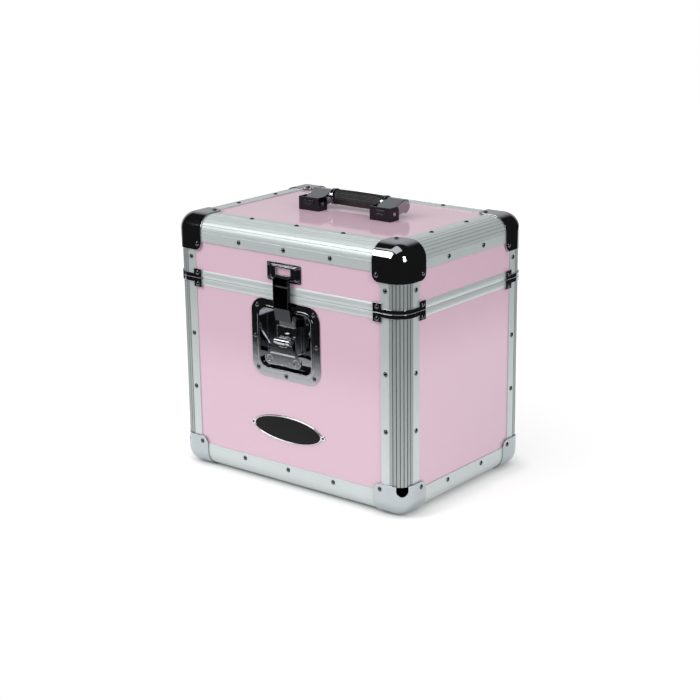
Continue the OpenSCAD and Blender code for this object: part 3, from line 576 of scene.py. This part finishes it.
def grid_faces(rows: int, columns: int, wrap_rows: bool, wrap_columns: bool) -> np.ndarray:
    """Quads of a grid of points numbered row by row.

    Face (i, j) joins points (i, j), (i, j+1), (i+1, j+1) and (i+1, j); a wrapped
    direction also joins its last points to its first.

    Args:
        rows: number of rows.
        columns: number of points in a row.
        wrap_rows: True if the last row meets the first.
        wrap_columns: True if each row is a closed ring.

    Returns:
        An array of quads, four point numbers each.
    """
    i, j = np.meshgrid(
        np.arange(rows if wrap_rows else rows - 1),
        np.arange(columns if wrap_columns else columns - 1),
        indexing="ij",
    )
    below, right = (i + 1) % rows, (j + 1) % columns
    corners = (i * columns + j, i * columns + right, below * columns + right, below * columns + j)
    return np.stack(corners, axis=-1).reshape(-1, 4)


def make_piece(
    name: str, points: np.ndarray, faces: np.ndarray, material: bpy.types.Material
) -> bpy.types.Object:
    """Puts points and quads into a smooth-shaded mesh object at the origin.

    Args:
        name: name of the piece.
        points: coordinates, one row each, in metres.
        faces: point numbers of each quad.
        material: finish of the piece.

    Returns:
        The new object.
    """
    mesh = bpy.data.meshes.new(name)
    mesh.from_pydata(points.reshape(-1, 3).tolist(), [], faces.tolist())
    mesh.polygons.foreach_set("use_smooth", np.ones(len(faces), dtype=bool))
    mesh.materials.append(material)
    mesh.update()
    piece = bpy.data.objects.new(name, mesh)
    bpy.context.scene.collection.objects.link(piece)
    return piece


def slab(front: np.ndarray, back: np.ndarray) -> Tuple[np.ndarray, np.ndarray]:
    """Closes two grids of the same size into one shell.

    The front keeps its winding, the back is turned round, and a band of quads joins the
    two rims, walked once round the grid's border.

    Args:
        front: rows x columns x 3 points of the face whose quads point outwards.
        back: the points behind them.

    Returns:
        The points and the quads of the shell.
    """
    rows, columns = front.shape[:2]
    count = rows * columns
    face = grid_faces(rows, columns, False, False)
    index = np.arange(count).reshape(rows, columns)
    border = np.concatenate((index[0, :-1], index[:-1, -1], index[-1, :0:-1], index[:0:-1, 0]))
    after = np.roll(border, -1)
    band = np.stack((border, border + count, after + count, after), axis=-1)
    points = np.concatenate((front.reshape(-1, 3), back.reshape(-1, 3)))
    return points, np.concatenate((face, face[:, ::-1] + count, band))


def ellipse_grid(count: int) -> Tuple[np.ndarray, np.ndarray]:
    """Maps a square grid onto the unit disc with no pole.

    A point (u, v) of the square goes to (u sqrt(1 - v^2/2), v sqrt(1 - u^2/2)).

    Args:
        count: points along each side of the square.

    Returns:
        Two arrays, the disc's first and second coordinates.
    """
    line = np.sin(np.linspace(-np.pi / 2, np.pi / 2, count))
    u, v = np.meshgrid(line, line, indexing="ij")
    return u * np.sqrt(1 - v**2 / 2), v * np.sqrt(1 - u**2 / 2)


def rounded_edges() -> Tuple[Triple, float]:
    """Where the rounded edges lie: the panels end at the level of their middles.

    Returns:
        The middles' distances from the origin along X, Y and Z, and the edges' radius.
    """
    half_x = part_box("front_panel")[1][0]
    half_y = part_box("right_panel")[1][1]
    top_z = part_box("lid_front_panel")[1][2]
    outer_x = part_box("body_post_front_right")[1][0]
    return (half_x, half_y, top_z), outer_x - half_x


def inner_room() -> Tuple[np.ndarray, np.ndarray]:
    """The room between the panels' inner faces.

    Returns:
        Its low and its high corner.
    """
    sides = ("left_panel", "front_panel", "base_panel")
    far_sides = ("right_panel", "back_panel", "lid_top_panel")
    low = np.array([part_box(panel)[1][axis] for axis, panel in enumerate(sides)])
    high = np.array([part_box(panel)[0][axis] for axis, panel in enumerate(far_sides)])
    return low, high


@dataclass
class Finishes:
    """Every finish of the case, made once and shared by its pieces."""

    laminate: bpy.types.Material = field(init=False)
    extrusions: Dict[Axis, bpy.types.Material] = field(init=False)
    chrome: bpy.types.Material = field(init=False)
    chrome_painted_dark: bpy.types.Material = field(init=False)
    zinc: bpy.types.Material = field(init=False)
    steel: bpy.types.Material = field(init=False)
    rivet: bpy.types.Material = field(init=False)
    badge_rim: bpy.types.Material = field(init=False)
    grip: bpy.types.Material = field(init=False)
    lacquer: bpy.types.Material = field(init=False)
    foam: bpy.types.Material = field(init=False)

    def __post_init__(self) -> None:
        """Builds the materials.

        Each run of the extrusions has its own tone of painted shade in the grooves, share of
        that painted shade on the land between them, and share of metal.
        """
        middle, radius = rounded_edges()
        self.laminate = PressedLaminate(inner_room()).build()
        self.extrusions = {
            run: AnodisedExtrusion(
                f"anodised_aluminium_{run.name.lower()}", run, middle, radius, groove, land, metal
            ).build()
            # Groove tones and land shares are painted shade: light on the X runs, darkest on the
            # posts
            for run, groove, land, metal in (
                (Axis.X, "c6cecd", 0.0, 0.35),
                (Axis.Y, "aab2b1", 0.15, 0.35),
                (Axis.Z, "4d5654", 0.45, 0.45),
            )
        }
        self.chrome = PlatedMetal("nickel_chrome_plate", "b2b4b9", (0.03, 0.07)).build()
        # Chrome toned near black for the tongue and handle brackets: painted dark reflection
        self.chrome_painted_dark = PlatedMetal("chrome_plate_painted_dark", "3c3d41", (0.05, 0.1)).build()
        self.zinc = PlatedMetal("bright_zinc_plate", "b2b9bc", (0.1, 0.2), ripple=14 * MM).build()
        self.steel = PlatedMetal("zinc_plated_steel", "a9abad", (0.22, 0.36)).build()
        # Polished rivet steel toned far darker than its own: painted dark reflection
        self.rivet = PlatedMetal(
            "polished_rivet_steel_painted_dark", "595a5d", (0.05, 0.1), ripple=3 * MM
        ).build()
        self.badge_rim = PlatedMetal(
            "badge_rim_chrome", "d9dbdd", (0.05, 0.12), ripple=20 * MM
        ).build()
        self.grip = PolymerSkin("pvc_grip_moulded", "0b0b0c", (0.42, 0.52)).build()
        self.lacquer = PolymerSkin(
            "black_lacquer_sprayed",
            "050506",
            (0.16, 0.22),
            grain_size=20 * MM,
            grain_height=0.01 * MM,
            ior=1.25,
        ).build()
        self.foam = ClosedCellFoam().build()


@dataclass
class CaseHardware:
    """The CAD pieces, each given the finish of the real part."""

    finishes: Finishes

    def material_for(self, node: str) -> bpy.types.Material:
        """Picks a node's finish by the kind of part that its name says.

        Args:
            node: name of the CAD node.

        Returns:
            The material to put on it.
        """
        finishes = self.finishes
        if node.endswith("_panel"):
            return finishes.laminate
        if node.startswith(("body_post", "lid_post")):
            return finishes.extrusions[Axis.Z]
        if node.startswith(("top_edge", "bottom_edge")):
            return finishes.extrusions[Axis.X if node.endswith(("front", "back")) else Axis.Y]
        if node.endswith("_rails"):
            return finishes.extrusions[Axis.X]
        if node.endswith("_rivets"):
            return finishes.rivet
        if node.startswith("bottom_corner"):
            return finishes.zinc
        if node.startswith("hinge") or node in ("latch_slider", "tongue_pin", "wing_pin"):
            return finishes.steel
        # The tongue and handle brackets are chrome, painted darker as dark reflection
        if node in ("latch_tongue", "handle_brackets"):
            return finishes.chrome_painted_dark
        return finishes.chrome

    def dress(self, nodes: Dict[str, bpy.types.Object]) -> None:
        """Assigns each node's material and reports it.

        Args:
            nodes: the CAD nodes by name.
        """
        for name, node in sorted(nodes.items()):
            material = self.material_for(name)
            for slot in node.material_slots:
                slot.link = "OBJECT"
                slot.material = material
            if not node.material_slots:
                LOG.warning("%s has no material slot", name)
            LOG.info("dressed %s in %s", name, material.name)


@dataclass
class MouldedGrip:
    """The handle's grip: a PVC tube with rounded ends, a slight crown and fine flutes."""

    finishes: Finishes
    bore: float = 3.2 * MM
    ends: float = 2.2 * MM
    crown: float = 0.5 * MM
    flute_depth: float = 0.35 * MM
    flute_from_end: float = 4 * MM
    flutes: int = 28
    around: int = 224
    along: int = 41
    end_steps: int = 6
    bore_steps: int = 12

    def build(self) -> bpy.types.Object:
        """Makes the grip in place of its CAD tube.

        The profile, turned about the rod's axis, sinks on its outside by
        depth (cos(n a) + 1)/2 with the angle a, except near the ends and in the bore.

        Returns:
            The grip.
        """
        low, high = (np.array(corner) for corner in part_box("handle_grip"))
        centre, half = (low + high) / 2, (high - low) / 2
        loop = self._profile(half[0], half[2])
        angle = np.linspace(0, 2 * np.pi, self.around, endpoint=False)
        middle_skin = (self.bore + half[2]) / 2
        fluted = (loop[:, 1] > middle_skin) & (np.abs(loop[:, 0]) < half[0] - self.flute_from_end)
        sink = np.outer(fluted, (np.cos(self.flutes * angle) + 1) / 2) * self.flute_depth
        rings = loop[:, 1:] - sink
        points = np.stack(
            (
                np.broadcast_to(loop[:, :1], rings.shape) + centre[0],
                rings * np.cos(angle) + centre[1],
                rings * np.sin(angle) + centre[2],
            ),
            axis=-1,
        )
        faces = grid_faces(len(loop), self.around, True, True)[:, ::-1]
        piece = make_piece("moulded_grip", points, faces, self.finishes.grip)
        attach(piece, Body.HANDLE.value)
        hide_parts("handle_grip")
        return piece

    def _profile(self, half: float, radius: float) -> np.ndarray:
        """The grip's section as a closed loop of lengths and radii.

        The outside runs from end to end with the radius R - crown (1 - cos(t)), where t
        goes from -90 to 90 degrees over the length. A quarter circle rounds each end, and
        the bore runs back.

        Args:
            half: half the grip's length in metres.
            radius: its radius R in metres.

        Returns:
            An array of rows, each a length and a radius.
        """
        length = np.linspace(self.ends - half, half - self.ends, self.along)
        outer = radius - self.crown * (1 - np.cos(length / half * np.pi / 2))
        outside = np.stack((length, outer), 1)
        turn = np.linspace(np.pi / 2, 0, self.end_steps + 1)[:-1]
        quarter = np.stack((np.cos(turn), np.sin(turn)), 1) * self.ends
        right = quarter + (half - self.ends, outer[-1] - self.ends)
        left = right[::-1] * (-1, 1)
        back = np.linspace(half, -half, self.bore_steps)
        inside = np.stack((back, np.full_like(back, self.bore)), 1)
        # The left end keeps the ring that it shares with the outside
        return np.concatenate((left, outside, right[1:], inside))


@dataclass
class FoamLining:
    """A foam sheet that lines the base or the lid, with softened edges."""

    finishes: Finishes
    node: str
    body: Body
    faces_up: bool
    soften: float = 1.2 * MM
    soften_reach: float = 1.8 * MM
    wave_height: float = 0.15 * MM
    waves: Tuple[int, int] = (7, 5)
    count: int = 90

    def build(self) -> bpy.types.Object:
        """Makes the sheet inside the space of its CAD pad.

        The open face drops towards its border by soften (1 - sqrt(1 - t^2)), where t runs
        from 0 to 1 over the reach before the edge, and by a low wave of
        height (1 + sin(m pi u) sin(n pi v)), with u and v from 0 to 1 over the sheet.

        Returns:
            The lining.
        """
        low, high = (np.array(corner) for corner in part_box(self.node))
        line = 0.5 - 0.5 * np.cos(np.pi * np.linspace(0, 1, self.count))
        u, v = np.meshgrid(line, line, indexing="ij")
        x = low[0] + (high[0] - low[0]) * u
        y = low[1] + (high[1] - low[1]) * v
        edge = np.minimum.reduce((x - low[0], high[0] - x, y - low[1], high[1] - y))
        near = np.clip(1 - edge / self.soften_reach, 0, 1)
        ripple = np.sin(self.waves[0] * np.pi * u) * np.sin(self.waves[1] * np.pi * v)
        drop = self.soften * (1 - np.sqrt(1 - near**2)) + self.wave_height * (1 + ripple)
        upper = np.full_like(x, high[2]) - (drop if self.faces_up else 0.0)
        lower = np.full_like(x, low[2]) + (0.0 if self.faces_up else drop)
        points, faces = slab(np.stack((x, y, upper), -1), np.stack((x, y, lower), -1))
        piece = make_piece(f"{self.node}_foam", points, faces[:, ::-1], self.finishes.foam)
        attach(piece, self.body.value)
        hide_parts(self.node)
        return piece


@dataclass
class OvalBadge:
    """A bare oval plate: black lacquer in a bright rim, with a pin in an ear at each end."""

    finishes: Finishes
    face_y: float
    width: float = 114 * MM
    height: float = 35.5 * MM
    centre_z: float = 82.3 * MM
    thickness: float = 0.9 * MM
    field_lift: float = 0.3 * MM
    field_crown: float = 0.3 * MM
    rim: float = 2.0 * MM
    rim_height: float = 0.8 * MM
    rim_seat: float = 0.5 * MM
    rim_steps: Tuple[int, int] = (9, 160)
    ear_x: float = 59.2 * MM
    ear_r: float = 3.6 * MM
    ear_tip: float = 0.01 * MM
    pin_r: float = 1.7 * MM
    pin_height: float = 1.3 * MM
    pin_count: int = 15
    plate_rows: int = 9
    count: int = 49

    def build(self) -> List[bpy.types.Object]:
        """Makes the plate, the lacquered field, the rim and the pins on the front panel.

        Returns:
            The pieces.
        """
        pieces = [self._plate(), self._field(), self._rim()]
        pieces += [self._pin("badge_pin_left", -1), self._pin("badge_pin_right", 1)]
        for piece in pieces:
            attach(piece, Body.CASE.value)
        return pieces

    def _shell(
        self,
        name: str,
        x: np.ndarray,
        z: np.ndarray,
        depths: Sequence[object],
        material: bpy.types.Material,
    ) -> bpy.types.Object:
        """Closes a face and a flat back over the same x and z into a piece.

        Args:
            name: name of the piece.
            x: the points' places across the panel.
            z: their heights above the badge's centre.
            depths: y of the face, as an array or a number, and y of the back.
            material: finish of the piece.

        Returns:
            The piece.
        """
        face, back = (
            np.stack((x, np.broadcast_to(depth, x.shape), self.centre_z + z), -1)
            for depth in depths
        )
        points, faces = slab(face, back)
        return make_piece(name, points, faces, material)

    def _plate(self) -> bpy.types.Object:
        """The thin plate under the field.

        At each x its half height is the larger of the oval's b sqrt(1 - (x/a)^2) and the
        ear's sqrt(r^2 - (|x| - e)^2), and the face is a grid between the two edges.

        Returns:
            The plate.
        """
        reach = self.ear_x + self.ear_r - self.ear_tip
        x = np.sin(np.linspace(-np.pi / 2, np.pi / 2, 3 * self.count)) * reach
        oval = self.height / 2 * np.sqrt(np.clip(1 - (2 * x / self.width) ** 2, 0, 1))
        ear = np.sqrt(np.clip(self.ear_r**2 - (np.abs(x) - self.ear_x) ** 2, 0, None))
        z = np.outer(np.maximum(oval, ear), np.linspace(-1, 1, self.plate_rows))
        grid_x = np.broadcast_to(x[:, None], z.shape)
        depths = (self.face_y - self.thickness, self.face_y)
        return self._shell("badge_plate", grid_x, z, depths, self.finishes.badge_rim)

    def _field(self) -> bpy.types.Object:
        """The lacquered field: a disc grid stretched to the oval, crowned by 1 - r^2.

        Returns:
            The field.
        """
        disc_x, disc_z = ellipse_grid(self.count)
        crown = self.field_crown * (1 - disc_x**2 - disc_z**2)
        face = self.face_y - self.thickness - self.field_lift - crown
        x = disc_x * (self.width / 2 - self.rim)
        z = disc_z * (self.height / 2 - self.rim)
        depths = (face, self.face_y - self.thickness / 2)
        return self._shell("badge_field", x, z, depths, self.finishes.lacquer)

    def _rim(self) -> bpy.types.Object:
        """The rim: a half-round section with a flat back, carried round the oval.

        Returns:
            The rim.
        """
        turn = np.linspace(0, np.pi, self.rim_steps[0])
        angle = np.linspace(0, 2 * np.pi, self.rim_steps[1], endpoint=False)
        across = np.concatenate((np.cos(turn), [-1.0, 1.0])) * self.rim / 2 - self.rim / 2
        lift = np.concatenate((self.rim_height * np.sin(turn), [-self.rim_seat] * 2))
        x = np.outer(self.width / 2 + across, np.cos(angle))
        z = np.outer(self.height / 2 + across, np.sin(angle))
        y = np.broadcast_to((self.face_y - self.thickness - lift)[:, None], x.shape)
        points = np.stack((x, y, z + self.centre_z), -1)
        faces = grid_faces(len(across), len(angle), True, True)
        return make_piece("badge_rim", points, faces, self.finishes.badge_rim)

    def _pin(self, name: str, side: int) -> bpy.types.Object:
        """A pin's head: a disc grid lifted to the dome h sqrt(1 - r^2).

        Args:
            name: name of the pin.
            side: -1 for the left ear and 1 for the right one.

        Returns:
            The pin.
        """
        disc_x, disc_z = ellipse_grid(self.pin_count)
        dome = self.pin_height * np.sqrt(np.clip(1 - disc_x**2 - disc_z**2, 0, 1))
        x = side * self.ear_x + self.pin_r * disc_x
        depths = (self.face_y - self.thickness - dome, self.face_y - self.thickness / 2)
        return self._shell(name, x, self.pin_r * disc_z, depths, self.finishes.rivet)


@dataclass(frozen=True)
class Softbox:
    """A rectangular lamp that faces the middle of the case; its power is in watts."""

    name: str
    place: Triple
    size: Span
    power: float
    aim: Triple = (0.0, 0.0, 170 * MM)

    def build(self) -> None:
        """Makes the lamp, with its back axis on the line from its aim to its place."""
        data = bpy.data.lights.new(self.name, "AREA")
        data.shape = "RECTANGLE"
        data.size, data.size_y = self.size
        data.energy = self.power
        lamp = bpy.data.objects.new(self.name, data)
        bpy.context.scene.collection.objects.link(lamp)
        back = np.array(self.place) - np.array(self.aim)
        back /= np.linalg.norm(back)
        right = np.cross((0.0, 0.0, 1.0), back)
        right /= np.linalg.norm(right)
        matrix = np.eye(4)
        matrix[:3, :3] = np.stack((right, np.cross(back, right), back), axis=1)
        matrix[:3, 3] = self.place
        lamp.matrix_world = Matrix(matrix.tolist())


@dataclass
class Studio:
    """White sweep, soft lamps and the camera at the photograph's angle.

    Angles are in degrees, and the lens and the sensor are in millimetres, as Blender has
    them. The paper is given by its front left and back right corners.
    """

    camera_at: Triple = (1316.1 * MM, -1653.0 * MM, 780.7 * MM)
    azimuth: float = 38.55
    elevation: float = 16.4
    roll: float = -0.67
    lens: float = 84.03
    sensor: float = 36.0
    paper: Tuple[Span, Span] = ((-1.2, -0.67), (0.75, 3.5))
    paper_tone: str = "dfdfdf"
    paper_fade: float = 0.25
    paper_glow: float = 0.47
    paper_near: float = 1.0
    paper_far: float = 2.5
    contact: float = 30 * MM
    contact_samples: int = 8
    wall_from: float = 0.58
    wall_to: float = 0.86
    wall_light: float = 0.5
    room_dark: float = 0.015
    even_light: float = 0.5
    lamps: Tuple[Softbox, ...] = (
        Softbox("key_softbox", (-1.5, -2.4, 2.2), (1.6, 1.8), 56.0),
        Softbox("fill_softbox", (2.6, -0.9, 1.2), (0.7, 1.4), 31.0),
        Softbox("top_softbox", (-0.2, -0.5, 2.4), (2.0, 1.6), 10.0),
    )

    def build(self) -> None:
        """Sets the view transform and makes the camera, the floor, the world and the lamps."""
        bpy.context.scene.view_settings.view_transform = "Standard"
        self._camera()
        self._floor()
        self._world()
        for lamp in self.lamps:
            lamp.build()

    def _camera(self) -> None:
        """The camera's axes are right R, up U and back B, turned by the roll about B."""
        az, el, roll = (math.radians(a) for a in (self.azimuth, self.elevation, self.roll))
        back = np.array((math.sin(az) * math.cos(el), -math.cos(az) * math.cos(el), math.sin(el)))
        right = np.array((math.cos(az), math.sin(az), 0.0))
        up = np.cross(back, right)
        rolled = math.cos(roll) * right + math.sin(roll) * up
        upright = -math.sin(roll) * right + math.cos(roll) * up
        matrix = np.eye(4)
        matrix[:3, :3] = np.stack((rolled, upright, back), axis=1)
        matrix[:3, 3] = self.camera_at
        data = bpy.data.cameras.new("photo_camera")
        data.lens = self.lens
        data.sensor_width = self.sensor
        camera = bpy.data.objects.new("photo_camera", data)
        bpy.context.scene.collection.objects.link(camera)
        camera.matrix_world = Matrix(matrix.tolist())
        bpy.context.scene.camera = camera

    def _floor(self) -> None:
        """A sheet of matt white paper whose front and right borders fade out.

        The camera, mirrors and glass see it with a glow of its own, which lifts the paper
        to white and leaves the case's shadow; further off the glow alone is white. Close
        to the case, by a contact's distance, ambient occlusion darkens the glow: a painted
        contact shadow.
        """
        (left, front), (right, back) = self.paper
        material, tree = new_material("paper_sweep_matt")
        place = add_node(tree, "ShaderNodeTexCoord")
        matt = add_node(tree, "ShaderNodeBsdfDiffuse", inputs={"Color": linear(self.paper_tone)})
        away = add_node(
            tree, "ShaderNodeVectorMath", {"operation": "LENGTH"}, {0: place.outputs["Object"]}
        )
        strength = add_node(
            tree,
            "ShaderNodeMapRange",
            {"interpolation_type": "SMOOTHSTEP"},
            {
                "Value": away.outputs["Value"],
                "From Min": self.paper_near,
                "From Max": self.paper_far,
                "To Min": self.paper_glow,
                "To Max": 1.0,
            },
        )
        # Painted contact shadow: ambient occlusion darkens the paper's glow near the case
        contact_shadow = add_node(
            tree,
            "ShaderNodeAmbientOcclusion",
            {"samples": self.contact_samples},
            {"Distance": self.contact},
        )
        for share in (contact_shadow.outputs["AO"], self._shown(tree)):
            strength = add_node(
                tree, "ShaderNodeMath", {"operation": "MULTIPLY"}, {0: strength, 1: share}
            )
        glow = add_node(
            tree, "ShaderNodeEmission", inputs={"Color": linear(WHITE), "Strength": strength}
        )
        both = add_node(tree, "ShaderNodeAddShader", inputs={0: matt, 1: glow})
        parts = add_node(tree, "ShaderNodeSeparateXYZ", inputs={0: place.outputs["Object"]})
        solid: object = 1.0
        for axis, border, full in (
            (1, front, front + self.paper_fade),
            (0, right, right - self.paper_fade),
        ):
            step = add_node(
                tree,
                "ShaderNodeMapRange",
                {"interpolation_type": "SMOOTHSTEP"},
                {"Value": parts.outputs[axis], "From Min": border, "From Max": full},
            )
            solid = add_node(
                tree, "ShaderNodeMath", {"operation": "MULTIPLY"}, {0: solid, 1: step}
            )
        clear = add_node(tree, "ShaderNodeBsdfTransparent")
        sheet = add_node(tree, "ShaderNodeMixShader", inputs={0: solid, 1: clear, 2: both})
        add_node(tree, "ShaderNodeOutputMaterial", inputs={"Surface": sheet})
        corners = [(left, front, 0.0), (right, front, 0.0), (right, back, 0.0), (left, back, 0.0)]
        floor = make_piece("paper_floor", np.array(corners), np.array([[0, 1, 2, 3]]), material)

    def _shown(self, tree: bpy.types.NodeTree) -> bpy.types.Node:
        """Value 1 for the camera's rays and for those that mirrors and glass send on.

        Args:
            tree: node tree of the floor or the world.

        Returns:
            The node whose first output is the value.
        """
        path = add_node(tree, "ShaderNodeLightPath")
        shown = path.outputs["Is Camera Ray"]
        for ray in ("Is Glossy Ray", "Is Transmission Ray"):
            shown = add_node(
                tree,
                "ShaderNodeMath",
                {"operation": "ADD", "use_clamp": True},
                {0: shown, 1: path.outputs[ray]},
            )
        return shown

    def _world(self) -> None:
        """A white backdrop in a room that is dark behind the camera.

        The camera sees white all round. Mirrors and glass see the backdrop's light on its
        side and the dark room on the other, by the ray's direction against the level one
        that the camera looks in. The diffuse light is an even grey of its own.
        """
        world = bpy.data.worlds.new("studio_world")
        bpy.context.scene.world = world
        world.use_nodes = True
        tree = world.node_tree
        tree.nodes.clear()
        place = add_node(tree, "ShaderNodeTexCoord")
        angle = math.radians(self.azimuth)
        ahead = (-math.sin(angle), math.cos(angle), 0.0)
        along = add_node(
            tree,
            "ShaderNodeVectorMath",
            {"operation": "DOT_PRODUCT"},
            {0: place.outputs["Generated"], 1: ahead},
        )
        wall = add_node(
            tree,
            "ShaderNodeMapRange",
            {"interpolation_type": "SMOOTHSTEP"},
            {
                "Value": along.outputs["Value"],
                "From Min": self.wall_from,
                "From Max": self.wall_to,
                "To Min": self.room_dark,
                "To Max": self.wall_light,
            },
        )
        path = add_node(tree, "ShaderNodeLightPath")
        strength = add_node(
            tree,
            "ShaderNodeMath",
            {"operation": "ADD", "use_clamp": True},
            {0: path.outputs["Is Camera Ray"], 1: wall},
        )
        even, room = (
            add_node(
                tree,
                "ShaderNodeBackground",
                inputs={"Color": linear(WHITE), "Strength": light},
            )
            for light in (self.even_light, strength)
        )
        shown = add_node(
            tree, "ShaderNodeMixShader", inputs={0: self._shown(tree), 1: even, 2: room}
        )
        add_node(tree, "ShaderNodeOutputWorld", inputs={"Surface": shown})


def main() -> None:
    logging.basicConfig(level=logging.INFO, format="%(name)s: %(message)s")
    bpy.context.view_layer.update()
    Studio().build()
    finishes = Finishes()
    CaseHardware(finishes).dress(frame["nodes"])
    LOG.info("made %s", MouldedGrip(finishes).build().name)
    for node, body, faces_up in (("base_pad", Body.CASE, True), ("lid_pad", Body.LID, False)):
        LOG.info("made %s", FoamLining(finishes, node, body, faces_up).build().name)
    for piece in OvalBadge(finishes, float(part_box("front_panel")[0][1])).build():
        LOG.info("made %s", piece.name)


if __name__ == "__main__":
    main()
